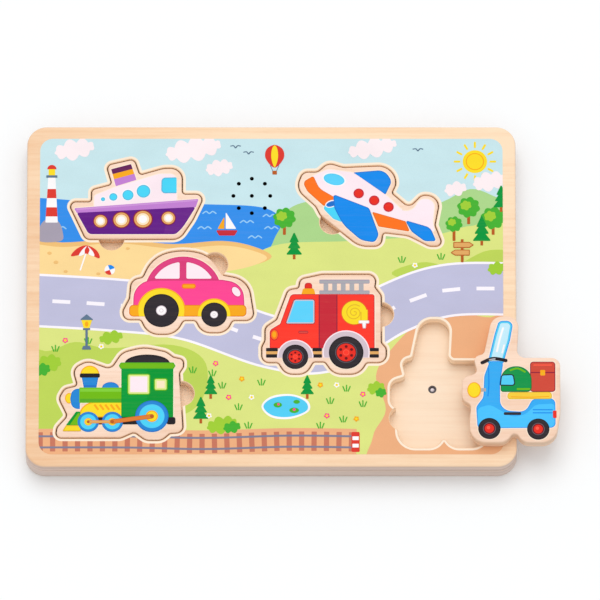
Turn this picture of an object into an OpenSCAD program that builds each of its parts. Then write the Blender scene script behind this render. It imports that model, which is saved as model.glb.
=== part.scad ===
// Wooden sound puzzle: six vehicle pieces in a two-layer board.
// Lifting a piece uncovers the light sensor in its pocket, and the sound unit in the base plays.
// Millimetres, +Z up. The origin is the middle of the underside, +X is right and +Y is the far edge.

/* [Board] */
// Width of the board, left to right
board_w = 300; // [290:1:360]
// Depth of the board, near edge to far edge
board_d = 222; // [216:1:280]
// Radius of the board's corners, seen from above
board_corner_r = 12; // [6:0.5:20]
// Thickness of the face panel, which is also the depth of the pockets
face_t = 8; // [7:0.5:12]
// Thickness of the base panel
base_t = 10; // [9:0.5:14]
// Rounding of the board's upper edge
board_edge_r = 1.5; // [0.5:0.1:2.5]
// Rounding of the board's lower edge
foot_edge_r = 1; // [0.5:0.1:2]

/* [Pieces and pockets] */
// Gap between a piece and the wall of its pocket
pocket_gap = 0.7; // [0.4:0.1:1]
// Rounding of a piece's upper edge
piece_edge_r = 1; // [0.4:0.1:1.5]
// Radius of the finger notch beside each piece
finger_r = 7.8; // [6.5:0.1:9]
// How far to the right of its pocket the loose scooter lies
loose_shift = 43; // [36:0.5:44]

/* [Sensors] */
// Diameter of a light sensor's barrel
sensor_d = 5; // [4:0.1:6]
// How far a sensor's rim lies below the pocket floor
sensor_inset = 0.4; // [0.1:0.1:0.8]
// Wood left between a pocket and the wiring space below it
pocket_floor_t = 3; // [2:0.1:4]

/* [Speaker] */
// Outer diameter of the speaker
speaker_d = 32; // [28:0.5:36]
// Diameter of each sound hole
sound_hole_d = 2.5; // [1.5:0.1:3.5]
// Radius of the ring of sound holes
sound_ring_r = 11.3; // [8:0.1:12]
// Number of sound holes in the ring, round the middle one
sound_hole_count = 8; // [6:1:10]
// Wood left over the speaker, through which the sound holes go
sound_skin_t = 4; // [2:0.5:6]

/* [Batteries] */
// Diameter of a cell
cell_d = 10.5; // [10:0.1:11]
// Length of a cell, terminal included
cell_l = 44.5; // [43:0.1:46]
// Length of a contact spring when it is pressed
spring_l = 5; // [4:0.1:6.5]
// Diameter of the spring wire
spring_wire_d = 0.8; // [0.5:0.1:0.9]
// Wall of the battery tray
tray_wall = 2; // [1.6:0.1:2.6]
// Thickness of the battery door
door_t = 1.6; // [1.2:0.1:2]
// How far the battery door lies inside the underside
door_inset = 0.4; // [0.2:0.1:0.8]
// Diameter of the door screw's shank
door_screw_d = 2.2; // [1.8:0.1:2.6]

/* [Back and circuit board] */
// Thickness of the back cover
back_t = 2; // [1.6:0.1:3]
// Width of the base's rim round the back cover
back_rim = 9; // [7:0.5:14]
// Diameter of a back cover screw's shank
back_screw_d = 2.4; // [2:0.1:3]
// Length of a back cover screw
back_screw_l = 7; // [5:0.5:8]
// Length of the circuit board
circuit_l = 44; // [36:1:60]
// Width of the circuit board
circuit_w = 30; // [26:1:40]
// Thickness of the circuit board
circuit_t = 1.2; // [0.8:0.1:1.6]
// Outer diameter of a wire pair
lead_d = 1.4; // [1:0.1:1.8]

/* [Hidden] */

$fn = 48;
// How far a cutting shape runs past the face that it cuts
past = 1;
// Angle that one straight step of a rounded corner takes
corner_step = 15;
// Running gap round a loose fit, and the smaller gap round a close one
loose_fit = 0.3;
close_fit = 0.05;

// Heights
face_z = base_t + face_t;
cavity_z = base_t - pocket_floor_t;
circuit_z = cavity_z - circuit_t;
lead_z = circuit_z - lead_d / 2 - close_fit;

// The vehicles and the sound unit are laid out on a board of this size. The layout spreads with the board,
// and the vehicles grow with the side that grows less.
layout_w = 300;
layout_d = 222;
spread = [board_w / layout_w, board_d / layout_d];
vehicle_scale = min(spread);
function laid(p) = [p[0] * spread[0], p[1] * spread[1]];

// Each vehicle has the place of its sensor on the board, the place of its finger notch and its outline.
// The last two are measured from the sensor. An outline runs clockwise, and each corner is [x, y, radius].
function seat(vehicle) = laid(vehicle[0]);
function notch(vehicle) = vehicle[1] * vehicle_scale;
function shape(vehicle) = vehicle[2] * vehicle_scale;

BOAT = [[-82, 55], [-16, -17], [
    [-42.5, 6.5, 3], [-28, 6.5, 2.5], [-28, 14.5, 2.5], [-15.5, 18, 2.5], [-19, 30.5, 3], [-2.5, 34.5, 3],
    [1, 24, 2.5], [16, 28.5, 14], [27, 28.5, 7], [27, 11.5, 2.5], [41, 11.5, 3.5], [33.5, -5, 25],
    [25.5, -17.5, 8], [-31.5, -17.5, 4]
]];
PLANE = [[58, 58], [-20.5, -9.5], [
    [-42.5, 12.5, 9], [-38.5, 23, 4.5], [-29.5, 23, 5], [-23, 29, 6], [-14, 26, 10], [18, 27.5, 10.5],
    [18, 15, 4], [15.5, 9.5, 2.5], [26.5, -0.5, 4.5], [34.5, 8, 5], [45.5, 7, 7], [42, -11.5, 3],
    [47, -25, 3], [39, -25, 6], [26, -18, 15], [10, -16, 2.5], [9, -25, 4.5], [-4, -25, 14],
    [-27.5, -5, 6], [-30.5, 1, 8]
]];
CAR = [[-52, 3], [17.5, 17.5], [
    [-38.5, -12.5, 4], [-34.5, -4.5, 5], [-33.5, 7.5, 5.5], [-26.5, 9, 3.5], [-20, 23.5, 20], [-2, 27, 35],
    [13.5, 24, 18], [22, 10.5, 3.5], [37.5, 7.5, 13], [41.5, -18.5, 4.5], [28, -18.5, 3], [24, -26.5, 8],
    [10, -26.5, 8], [6, -18.5, 3], [-2, -18.5, 3], [-7, -27.5, 10], [-23, -27.5, 10], [-27.5, -18, 2.8],
    [-38, -18, 4]
]];
FIRE_ENGINE = [[31, -17], [36, 5], [
    [-36.5, -16, 4], [-34.5, -12, 4], [-34.5, -3.5, 4.5], [-27.5, 1.5, 4], [-20.5, 21, 4], [-14, 22, 2.5],
    [-13, 28, 3.5], [0, 31, 8], [33.5, 31, 4.5], [32, 23, 2.5], [36, 17.5, 4], [36, -13.5, 3],
    [39, -17, 3], [39, -26, 5], [27, -26, 3], [22.5, -33.5, 9], [7.5, -33.5, 9], [2, -25.5, 3],
    [-5.5, -25.5, 3], [-10, -33.5, 7.5], [-22, -33.5, 7.5], [-26.5, -26, 3], [-36.5, -26, 4.5]
]];
LOCOMOTIVE = [[-88, -65], [33, 1.5], [
    [-43.5, -27, 3], [-42.5, -20.5, 4], [-36, -13, 4], [-41.5, -1.5, 5], [-38, 4.5, 4], [-30, 6.5, 2.5],
    [-33, 17.5, 5.5], [-24.5, 22.5, 8], [-10, 17, 5], [-3, 28, 9], [10, 31.5, 20], [23.5, 28.5, 8],
    [28, 25, 4], [34, 23.5, 2.5], [34, 19, 2.5], [31.5, 15, 3], [34, -23.5, 4], [26, -24, 3],
    [21, -28.5, 7], [11.5, -28.5, 7], [4.5, -23, 4], [-4, -27, 5]
]];
SCOOTER = [[98.5, -58], [-18.5, -21.5], [
    [-20.5, -27, 10], [-19.5, -15.5, 3], [-25, -12.5, 5], [-25, 2, 5], [-15.5, 5, 3], [-18, 15.5, 3.5],
    [-11.5, 17.5, 3.5], [-6.5, 42, 8], [10, 42, 7], [8.5, 15, 5], [35, 15, 5.5], [35, -20, 15],
    [32, -40, 10], [12, -40, 8], [8.5, -34.5, 2.6], [5.5, -34.5, 2.6], [2, -40, 8], [-20, -40, 10]
]];
VEHICLES = [BOAT, PLANE, CAR, FIRE_ENGINE, LOCOMOTIVE, SCOOTER];

// Speaker
speaker_at = laid([-12, 65.5]);
speaker_rim_w = 2.8;
speaker_flange_t = 1;
speaker_wall = 0.8;
basket_drop = 1.4;
surround_w = 1;
coil_ratio = 0.33;
gasket_t = 0.3;
cone_t = 0.3;
basket_r = speaker_d / 2 - speaker_rim_w + speaker_wall;
basket_top = base_t - gasket_t - cone_t;
basket_base = cavity_z - basket_drop;
magnet_d = speaker_d / 2;
magnet_gap = 0.6;
terminal = [6, 1, 4];
speaker_hole_r = speaker_d / 2 + loose_fit;

// Battery tray, its length along X: the cells lie between the contacts, and the door's post is at the right
tray_at = laid([6, -77]);
cell_gap = 0.5;
plate_t = 0.4;
plate_side = 8;
tray_roof_t = 1.2;
tray_corner_r = 2;
flange_corner_r = 3;
door_corner_r = 1.5;
post_r = 3;
post_wall = 1.2;
tray_flange = 3;
tray_flange_t = 1.6;
door_ledge = 0.9;
door_seat_z = door_inset + door_t;
cell_z = door_seat_z + cell_gap + cell_d / 2;
tray_top = cell_z + cell_d / 2 + cell_gap + tray_roof_t;
cell_room = cell_l + spring_l + 2 * plate_t + cell_gap;
post_room = 2 * post_r + 2 * loose_fit;
tray_inner_l = cell_room + post_wall + post_room;
tray_inner_w = 2 * cell_d + 3 * cell_gap;
tray_l = tray_inner_l + 2 * tray_wall;
tray_w = tray_inner_w + 2 * tray_wall;
cells_left = -tray_inner_l / 2;
cells_right = cells_left + cell_room;
post_x = tray_inner_l / 2 - post_room / 2;
cell_y = (cell_d + cell_gap) / 2;
nub_l = 1;
nub_d = 3.8;
spring_turns = 3.5;
spring_wide_r = 3.4;
spring_narrow_r = 2.3;
spring_sides = 6;
spring_turn_steps = 8;

// Screws: a countersunk head of twice the shank's diameter, with a cross recess
head_ratio = 2;
head_h_ratio = 0.5;
slot_ratio = 0.28;
recess_ratio = 0.7;
tip_ratio = 0.25;
door_screw_l = 9;
screw_sink = 0.1;

// Back cover
cover_w = board_w - 2 * back_rim - 2 * loose_fit;
cover_d = board_d - 2 * back_rim - 2 * loose_fit;
cover_corner_r = board_corner_r / 2;
cover_screw_inset = 6;
cover_screws = [
    for (x = [-1, -0.5, 0.5, 1], y = [-1, 0, 1]) if (abs(x) == 1 || y != 0)
        [x * (cover_w / 2 - cover_screw_inset), y * (cover_d / 2 - cover_screw_inset)]
];

// Circuit board and wiring
circuit_at = laid([-12, 8]);
circuit_room = 2;
circuit_corner_r = 1;
circuit_screw_d = 1.8;
circuit_screw_inset = 3.5;
circuit_screw_bite = 2;
circuit_screw_l = circuit_t + circuit_screw_bite;
circuit_screws = [for (s = [-1, 1]) [circuit_at[0] + s * (circuit_l / 2 - circuit_screw_inset),
                                     circuit_at[1] + s * (circuit_w / 2 - circuit_screw_inset)]];
groove_w = 4;
groove_corner_r = 1.5;
lead_sides = 8;
well_r = 4.5;
solder_reach = 3;
left_pad = circuit_at[0] - circuit_l / 2 + solder_reach;
right_pad = circuit_at[0] + circuit_l / 2 - solder_reach;
far_pad = circuit_at[1] + circuit_w / 2 - solder_reach;
near_pad = circuit_at[1] - circuit_w / 2 + solder_reach;
pad_pitch = 6;
scooter_lead_bend = laid([60, -54]);
battery_lead_x = tray_at[0] - tray_l / 4;
sensor_routes = [
    [seat(BOAT), [left_pad, circuit_at[1] + pad_pitch]],
    [seat(PLANE), [right_pad, circuit_at[1] + pad_pitch]],
    [seat(CAR), [left_pad, circuit_at[1]]],
    [seat(FIRE_ENGINE), [right_pad, circuit_at[1]]],
    [seat(LOCOMOTIVE), [left_pad, circuit_at[1] - pad_pitch]],
    [seat(SCOOTER), scooter_lead_bend, [right_pad, circuit_at[1] - pad_pitch]]
];
speaker_route = [[speaker_at[0], speaker_at[1] - basket_r - terminal[1]], [speaker_at[0], far_pad]];
battery_route = [[battery_lead_x, tray_at[1] + tray_w / 2], [battery_lead_x, near_pad]];

// Outlines of the flat pieces, and of the seat in which the battery door lies
board_outline = rectangle(board_w, board_d, board_corner_r);
cover_outline = rectangle(cover_w, cover_d, cover_corner_r);
circuit_outline = rectangle(circuit_l, circuit_w, circuit_corner_r);
tray_outline = rectangle(tray_l, tray_w, tray_corner_r);
flange_outline = rectangle(tray_l + 2 * tray_flange, tray_w + 2 * tray_flange, flange_corner_r);
door_seat = rectangle(tray_inner_l + 2 * door_ledge, tray_inner_w + 2 * door_ledge, door_corner_r);

// Outlines with rounded corners
function unit(v) = v / norm(v);
function corner_xy(p) = [p[0], p[1]];
function at(list, i) = list[(i + len(list)) % len(list)];
function way(points, i) = unit(corner_xy(at(points, i + 1)) - corner_xy(at(points, i)));
function bulges(points, i) = cross(way(points, i - 1), way(points, i)) < 0;
function turn(points, i) = acos(min(1, way(points, i - 1) * way(points, i)));
function outward(v) = [-v[1], v[0]];

// The outline moved outwards by c, or inwards where c is negative, with the radii that keep the gap even
function grow(points, c) = [
    for (i = [0 : len(points) - 1])
        let (a = outward(way(points, i - 1)), b = outward(way(points, i)), step = (a + b) / (1 + a * b) * c)
            [points[i][0] + step[0], points[i][1] + step[1],
             max(0.1, points[i][2] + (bulges(points, i) ? c : -c))]
];

// The same outline with each corner drawn as an arc
function outline(points) = [
    for (i = [0 : len(points) - 1])
        let (
            into = way(points, i - 1), out = way(points, i), angle = turn(points, i), r = points[i][2],
            side = bulges(points, i) ? -1 : 1,
            start = corner_xy(points[i]) - into * r * tan(angle / 2),
            centre = start + outward(into) * r * side,
            steps = max(1, ceil(angle / corner_step))
        )
            for (k = [0 : steps])
                let (a = side * angle * k / steps, from = start - centre)
                    centre + [from[0] * cos(a) - from[1] * sin(a), from[0] * sin(a) + from[1] * cos(a)]
];

function rectangle(w, d, r) = [for (s = [[-1, 1], [1, 1], [1, -1], [-1, -1]]) [s[0] * w / 2, s[1] * d / 2, r]];

// Triangles that fill a flat clockwise ring: one ear is cut off at a time until three corners are left
function holds(p, a, b, c) = cross(b - a, p - a) <= 0 && cross(c - b, p - b) <= 0 && cross(a - c, p - c) <= 0;
function is_ear(ring, ids, k) =
    let (i = at(ids, k - 1), j = ids[k], l = at(ids, k + 1), a = ring[i], b = ring[j], c = ring[l])
        cross(b - a, c - b) < 0
        && len([for (m = ids) if (m != i && m != j && m != l && holds(ring[m], a, b, c)) m]) == 0;
function first_ear(ring, ids, k = 0) = is_ear(ring, ids, k) ? k : first_ear(ring, ids, k + 1);
function fill(ring, ids) =
    len(ids) == 3 ? [ids] :
    let (k = first_ear(ring, ids))
        concat([[at(ids, k - 1), ids[k], at(ids, k + 1)]],
               fill(ring, [for (i = [0 : len(ids) - 1]) if (i != k) ids[i]]));

function flip(face) = [for (k = [1 : len(face)]) face[len(face) - k]];

// A solid through a stack of outlines: each level is [growth of the outline, height]
module loft(points, levels) {
    rings = [for (level = levels) outline(grow(points, level[0]))];
    n = len(rings[0]);
    last = len(rings) - 1;
    ids = [for (i = [0 : n - 1]) i];
    polyhedron(
        points = [for (k = [0 : last]) each [for (p = rings[k]) [p[0], p[1], levels[k][1]]]],
        faces = concat(
            [for (f = fill(rings[0], ids)) flip(f)],
            [for (k = [0 : last - 1], i = [0 : n - 1])
                let (j = (i + 1) % n) each [[k * n + i, k * n + j, (k + 1) * n + j],
                                            [k * n + i, (k + 1) * n + j, (k + 1) * n + i]]],
            [for (f = fill(rings[last], ids)) [for (i = f) last * n + i]]
        ));
}

// Levels of an edge rounded by r, in two straight steps, up to height h
function round_top(h, r) = [[0, h - r], [-r * (1 - cos(45)), h - r * (1 - sin(45))], [-r, h]];
function round_foot(r) = [[-r, 0], [-r * (1 - cos(45)), r * (1 - sin(45))], [0, r]];

module plate(points, t) {
    linear_extrude(t) polygon(outline(points));
}

// The flat shape of a groove along a route, in straight runs that overlap at the bends
module groove(route) {
    for (i = [0 : len(route) - 2]) {
        step = route[i + 1] - route[i];
        translate(route[i]) rotate(atan2(step[1], step[0])) translate([norm(step) / 2, 0])
            polygon(outline(rectangle(norm(step) + groove_w, groove_w, groove_corner_r)));
    }
}

// A wire pair laid along a level route: mitred at its bends, and cut square at its ends
module lead(route) {
    n = lead_sides;
    last = len(route) - 1;
    rings = [for (i = [0 : last])
        let (
            before = unit(i == 0 ? route[1] - route[0] : route[i] - route[i - 1]),
            after = unit(i == last ? route[last] - route[last - 1] : route[i + 1] - route[i]),
            across = (outward(before) + outward(after)) / (1 + before * after)
        )
            [for (k = [0 : n - 1])
                let (a = 360 * k / n, aside = across * lead_d / 2 * cos(a))
                    [route[i][0] + aside[0], route[i][1] + aside[1], lead_z + lead_d / 2 * sin(a)]]];
    polyhedron(
        points = [for (ring = rings) each ring],
        faces = concat(
            [[for (k = [0 : n - 1]) n - 1 - k]],
            [for (i = [0 : last - 1], k = [0 : n - 1])
                let (j = (k + 1) % n) each [[i * n + k, i * n + j, (i + 1) * n + j],
                                            [i * n + k, (i + 1) * n + j, (i + 1) * n + k]]],
            [[for (k = [0 : n - 1]) last * n + k]]
        ));
}

// A countersunk screw that points up, with its head's face at z = 0
module countersunk_screw(d, l) {
    head_d = d * head_ratio;
    head_h = d * head_h_ratio;
    difference() {
        union() {
            cylinder(d1 = head_d, d2 = d, h = head_h);
            translate([0, 0, head_h]) cylinder(d = d, h = l - head_h - d / 2);
            translate([0, 0, l - d / 2]) cylinder(d1 = d, d2 = d * tip_ratio, h = d / 2);
        }
        for (a = [0, 90]) rotate(a)
            translate([-head_d * recess_ratio / 2, -d * slot_ratio / 2, -past])
                cube([head_d * recess_ratio, d * slot_ratio, past + head_h * recess_ratio]);
    }
}

// The room for such a screw: a countersink from z = 0 and a hole of the shank's size
module countersunk_room(d, l) {
    head_d = d * head_ratio + 2 * close_fit;
    translate([0, 0, -past]) cylinder(d = head_d, h = past);
    cylinder(d1 = head_d, d2 = d + 2 * close_fit, h = d * head_h_ratio);
    cylinder(d = d + 2 * close_fit, h = l + close_fit);
}

// Spaces that pass through more than one layer
module tray_room() {
    translate([tray_at[0], tray_at[1], -past])
        plate(grow(tray_outline, loose_fit), tray_top + loose_fit + past);
}

module at_seat(vehicle) {
    translate([seat(vehicle)[0], seat(vehicle)[1], 0]) children();
}

// The face panel: pockets, finger notches and sound holes right through, and room for speaker and tray below
module pocket_room(vehicle) {
    at_seat(vehicle) translate([0, 0, base_t - past]) linear_extrude(face_t + 2 * past) {
        polygon(outline(grow(shape(vehicle), pocket_gap)));
        translate(notch(vehicle)) circle(r = finger_r);
    }
}

module sound_holes() {
    places = concat([[0, 0]], [for (i = [0 : sound_hole_count - 1])
        sound_ring_r * [cos(360 * i / sound_hole_count), sin(360 * i / sound_hole_count)]]);
    translate([speaker_at[0], speaker_at[1], base_t - past]) {
        for (p = places) translate([p[0], p[1], 0]) cylinder(d = sound_hole_d, h = face_t + 2 * past);
        cylinder(r = basket_r - surround_w, h = face_t - sound_skin_t + past);
    }
}

module face_panel() {
    color("burlywood") difference() {
        translate([0, 0, base_t]) loft(board_outline, concat([[0, 0]], round_top(face_t, board_edge_r)));
        for (vehicle = VEHICLES) pocket_room(vehicle);
        sound_holes();
        tray_room();
    }
}

// The base panel: the pockets' floor above, and the sound unit's room below, behind the back cover
module base_panel() {
    color("tan") difference() {
        loft(board_outline, concat(round_foot(foot_edge_r), [[0, base_t]]));
        translate([0, 0, -past]) plate(grow(cover_outline, loose_fit), back_t + past);
        for (vehicle = VEHICLES) at_seat(vehicle) cylinder(d = sensor_d + 2 * close_fit, h = base_t + past);
        linear_extrude(cavity_z) {
            for (vehicle = VEHICLES) translate(seat(vehicle)) circle(r = well_r);
            for (route = concat(sensor_routes, [speaker_route, battery_route])) groove(route);
            translate(circuit_at) polygon(outline(grow(circuit_outline, circuit_room)));
        }
        for (p = circuit_screws) translate([p[0], p[1], 0])
            cylinder(d = circuit_screw_d + 2 * close_fit, h = circuit_z + circuit_screw_l + close_fit);
        translate([speaker_at[0], speaker_at[1], 0]) cylinder(r = speaker_hole_r, h = base_t + past);
        tray_room();
        translate([tray_at[0], tray_at[1], 0])
            plate(grow(flange_outline, loose_fit), back_t + tray_flange_t + loose_fit);
        for (p = cover_screws)
            translate([p[0], p[1], screw_sink]) countersunk_room(back_screw_d, back_screw_l);
    }
}

module back_cover() {
    color("sienna") difference() {
        plate(cover_outline, back_t);
        tray_room();
        for (p = cover_screws)
            translate([p[0], p[1], screw_sink]) countersunk_room(back_screw_d, back_screw_l);
    }
}

module back_cover_screws() {
    color("silver") for (p = cover_screws) translate([p[0], p[1], screw_sink])
        countersunk_screw(back_screw_d, back_screw_l);
}

// A vehicle piece in its pocket, flush with the face
module piece(vehicle, paint) {
    color(paint) at_seat(vehicle) translate([0, 0, base_t])
        loft(shape(vehicle), concat([[0, 0]], round_top(face_t, piece_edge_r)));
}

// The scooter has been lifted out and lies on the face, beside its pocket
module loose_scooter() {
    translate([loose_shift * spread[0], 0, face_t]) piece(SCOOTER, "deepskyblue");
}

// A light sensor: a barrel through the pocket floor, its flange seated below, and a clear dome in its mouth
sensor_flange_w = 0.8;
sensor_flange_t = 0.8;
sensor_rim_w = 0.9;
sensor_mouth_r = sensor_d / 2 - sensor_rim_w;
sensor_mouth_h = 1.2;
sensor_mouth_z = base_t - sensor_inset - sensor_mouth_h;
sensor_foot_r = sensor_d / 2 - sensor_rim_w / 2;

module sensor(vehicle) {
    color("dimgray") at_seat(vehicle) difference() {
        union() {
            translate([0, 0, circuit_z]) cylinder(r = sensor_foot_r, h = circuit_t);
            translate([0, 0, cavity_z - sensor_flange_t])
                cylinder(r = sensor_d / 2 + sensor_flange_w, h = sensor_flange_t);
            translate([0, 0, cavity_z]) cylinder(d = sensor_d, h = pocket_floor_t - sensor_inset);
        }
        translate([0, 0, sensor_mouth_z]) cylinder(r = sensor_mouth_r, h = sensor_mouth_h + past);
    }
}

module sensor_lenses() {
    dome_r = sensor_mouth_r - close_fit;
    color("whitesmoke") for (vehicle = VEHICLES) at_seat(vehicle)
        translate([0, 0, sensor_mouth_z]) rotate_extrude() intersection() {
            square([dome_r, sensor_mouth_h]);
            translate([0, sensor_mouth_h - dome_r]) circle(r = dome_r);
        }
}

// The speaker hangs from the face panel by its gasket, cone down to the magnet
module speaker_basket() {
    color("gray") translate([speaker_at[0], speaker_at[1], 0]) {
        rotate_extrude() polygon([
            [magnet_d / 4, basket_base], [basket_r, basket_base], [basket_r, basket_top - speaker_flange_t],
            [speaker_d / 2, basket_top - speaker_flange_t], [speaker_d / 2, basket_top],
            [basket_r - speaker_wall, basket_top], [basket_r - speaker_wall, basket_base + speaker_wall],
            [magnet_d / 4, basket_base + speaker_wall]
        ]);
        translate([-terminal[0] / 2, -basket_r - terminal[1], basket_top - speaker_flange_t - terminal[2]])
            cube([terminal[0], terminal[1] + speaker_wall / 2, terminal[2]]);
    }
}

module speaker_cone() {
    rim_r = basket_r - speaker_wall;
    seat_r = speaker_d / 2 - surround_w;
    coil_r = magnet_d * coil_ratio;
    dip = basket_top - basket_base - speaker_wall - magnet_gap;
    color("darkslategray") translate([speaker_at[0], speaker_at[1], basket_top]) rotate_extrude() polygon([
        [0, -dip / 2 + cone_t], [coil_r, -dip + cone_t], [rim_r - surround_w, cone_t], [seat_r, cone_t],
        [seat_r, 0], [rim_r - surround_w, 0], [coil_r, -dip], [0, -dip / 2]
    ]);
}

module speaker_gasket() {
    color("black") translate([speaker_at[0], speaker_at[1], base_t - gasket_t]) difference() {
        cylinder(d = speaker_d, h = gasket_t);
        translate([0, 0, -past]) cylinder(r = basket_r - speaker_wall, h = gasket_t + 2 * past);
    }
}

module speaker_magnet() {
    color("silver") translate([speaker_at[0], speaker_at[1], back_t + magnet_gap])
        cylinder(d = magnet_d, h = basket_base - back_t - magnet_gap);
}

// The circuit board lies against the roof of its room, with its parts facing down
module circuit_board() {
    color("darkgreen") difference() {
        translate([circuit_at[0], circuit_at[1], circuit_z]) plate(circuit_outline, circuit_t);
        for (p = circuit_screws) translate([p[0], p[1], circuit_z - past])
            cylinder(d = circuit_screw_d + 2 * close_fit, h = circuit_t + 2 * past);
    }
}

chip_r = 5;
chip_h = 1.5;
chip_x = -5;

module sound_chip() {
    dome_r = (chip_r * chip_r + chip_h * chip_h) / (2 * chip_h);
    color("black") translate([circuit_at[0] + chip_x, circuit_at[1], circuit_z]) intersection() {
        translate([0, 0, dome_r - chip_h]) sphere(r = dome_r);
        translate([-chip_r, -chip_r, -chip_h - past]) cube([2 * chip_r, 2 * chip_r, chip_h + past]);
    }
}

capacitor_d = 3;
capacitor_l = 6;
capacitor_at = [6, 2];
resistor = [3.2, 1.6, 0.6];
resistor_count = 5;
resistor_at = [-9, -9.5];
transistor = [3, 1.4, 1.1];
transistor_count = 2;
transistor_at = [6, -5];
component_pitch = 4.5;

module component_row(size, start, count) {
    for (i = [0 : count - 1]) translate([start[0] + i * component_pitch, start[1], -size[2]]) cube(size);
}

module board_components() {
    color("darkorange") translate([circuit_at[0], circuit_at[1], circuit_z]) {
        translate([capacitor_at[0], capacitor_at[1], -capacitor_d / 2])
            rotate([0, 90, 0]) cylinder(d = capacitor_d, h = capacitor_l);
        component_row(resistor, resistor_at, resistor_count);
        component_row(transistor, transistor_at, transistor_count);
    }
}

module circuit_board_screws() {
    head_h = circuit_screw_d / 2;
    color("silver") for (p = circuit_screws) translate([p[0], p[1], circuit_z]) {
        translate([0, 0, -head_h]) cylinder(d = circuit_screw_d * head_ratio, h = head_h);
        cylinder(d = circuit_screw_d, h = circuit_screw_l);
    }
}

// The battery tray: a tub held by its flange, open below, with a ledge for the door and a post for its screw
module battery_tray() {
    color("dimgray") translate([tray_at[0], tray_at[1], 0]) difference() {
        union() {
            translate([0, 0, door_inset]) plate(tray_outline, tray_top - door_inset);
            translate([0, 0, back_t]) plate(flange_outline, tray_flange_t);
        }
        translate([0, 0, -past]) plate(door_seat, door_seat_z + past);
        translate([cells_left, -tray_inner_w / 2, 0]) cube([cell_room, tray_inner_w, tray_top - tray_roof_t]);
        difference() {
            translate([cells_right + post_wall, -tray_inner_w / 2, 0])
                cube([post_room, tray_inner_w, tray_top - tray_roof_t]);
            translate([post_x, 0, 0]) cylinder(r = post_r, h = tray_top);
        }
        translate([post_x, 0, door_inset]) cylinder(d = door_screw_d + 2 * close_fit, h = door_screw_l + loose_fit);
    }
}

// A cell that lies along X, its terminal at the end that dir points to
module cell(y, dir) {
    room = cell_room - spring_l - 2 * plate_t - cell_l;
    body_l = cell_l - nub_l;
    plus_x = dir > 0 ? cells_right - plate_t - room : cells_left + plate_t + room;
    translate([tray_at[0] + plus_x, tray_at[1] + y, cell_z]) rotate([0, dir > 0 ? -90 : 90, 0]) {
        cylinder(d = nub_d, h = nub_l);
        translate([0, 0, nub_l]) cylinder(d = cell_d, h = body_l);
    }
}

module front_cell() {
    color("gold") cell(-cell_y, 1);
}

module rear_cell() {
    color("gold") cell(cell_y, -1);
}

module contact_plates() {
    color("silver") for (x = [cells_left, cells_right - plate_t], y = [-cell_y, cell_y])
        translate([tray_at[0] + x, tray_at[1] + y - plate_side / 2, cell_z - plate_side / 2])
            cube([plate_t, plate_side, plate_side]);
}

// A tapered contact spring, from its plate at x to the flat end of its cell, winding towards dir
module contact_spring(x, y, dir) {
    steps = spring_turns * spring_turn_steps;
    travel = spring_l - spring_wire_d;
    rings = [for (i = [0 : steps])
        let (
            f = i / steps, a = 360 * spring_turns * f,
            r = spring_wide_r + (spring_narrow_r - spring_wide_r) * f, along = spring_wire_d / 2 + travel * f
        )
            [for (k = [0 : spring_sides - 1])
                let (b = 360 * k / spring_sides, rr = r + spring_wire_d / 2 * cos(b))
                    [dir * (along + spring_wire_d / 2 * sin(b)), rr * cos(a), rr * sin(a)]]];
    n = spring_sides;
    last = steps * n;
    faces = concat(
        [[for (k = [0 : n - 1]) k]],
        [for (i = [0 : steps - 1], k = [0 : n - 1])
            let (j = (k + 1) % n) each [[i * n + k, (i + 1) * n + k, (i + 1) * n + j],
                                        [i * n + k, (i + 1) * n + j, i * n + j]]],
        [[for (k = [0 : n - 1]) last + n - 1 - k]]);
    translate([tray_at[0] + x, tray_at[1] + y, cell_z])
        polyhedron(points = [for (ring = rings) each ring], faces = dir > 0 ? faces : [for (f = faces) flip(f)]);
}

module contact_springs() {
    color("silver") {
        contact_spring(cells_left + plate_t, -cell_y, 1);
        contact_spring(cells_right - plate_t, cell_y, -1);
    }
}

// The battery door, with a nail notch at its free end, and the screw that holds it
nail_notch_r = 4;

module battery_door() {
    color("slategray") translate([tray_at[0], tray_at[1], door_inset]) difference() {
        plate(grow(door_seat, -loose_fit), door_t);
        translate([-tray_inner_l / 2 - door_ledge, 0, -past]) cylinder(r = nail_notch_r, h = door_t / 2 + past);
        translate([post_x, 0, screw_sink]) countersunk_room(door_screw_d, door_screw_l);
    }
}

module door_screw() {
    color("silver") translate([tray_at[0] + post_x, tray_at[1], door_inset + screw_sink])
        countersunk_screw(door_screw_d, door_screw_l);
}

// Wiring
module sensor_leads() {
    color("red") for (route = sensor_routes) lead(route);
}

module speaker_lead() {
    color("orange") lead(speaker_route);
}

module battery_lead() {
    color("black") lead(battery_route);
}

face_panel();
base_panel();
back_cover();
back_cover_screws();
piece(BOAT, "rebeccapurple");  // boat_piece
piece(PLANE, "dodgerblue");  // plane_piece
piece(CAR, "hotpink");  // car_piece
piece(FIRE_ENGINE, "red");  // fire_engine_piece
piece(LOCOMOTIVE, "forestgreen");  // locomotive_piece
loose_scooter();  // scooter_piece
sensor(BOAT);  // boat_sensor
sensor(PLANE);  // plane_sensor
sensor(CAR);  // car_sensor
sensor(FIRE_ENGINE);  // fire_engine_sensor
sensor(LOCOMOTIVE);  // locomotive_sensor
sensor(SCOOTER);  // scooter_sensor
sensor_lenses();
speaker_basket();
speaker_cone();
speaker_gasket();
speaker_magnet();
circuit_board();
sound_chip();
board_components();
circuit_board_screws();
battery_tray();
front_cell();
rear_cell();
contact_plates();
contact_springs();
battery_door();
door_screw();
sensor_leads();
speaker_lead();
battery_lead();
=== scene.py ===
"""Wooden sound puzzle: a printed board with six vehicle pieces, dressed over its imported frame."""

import math

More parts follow.
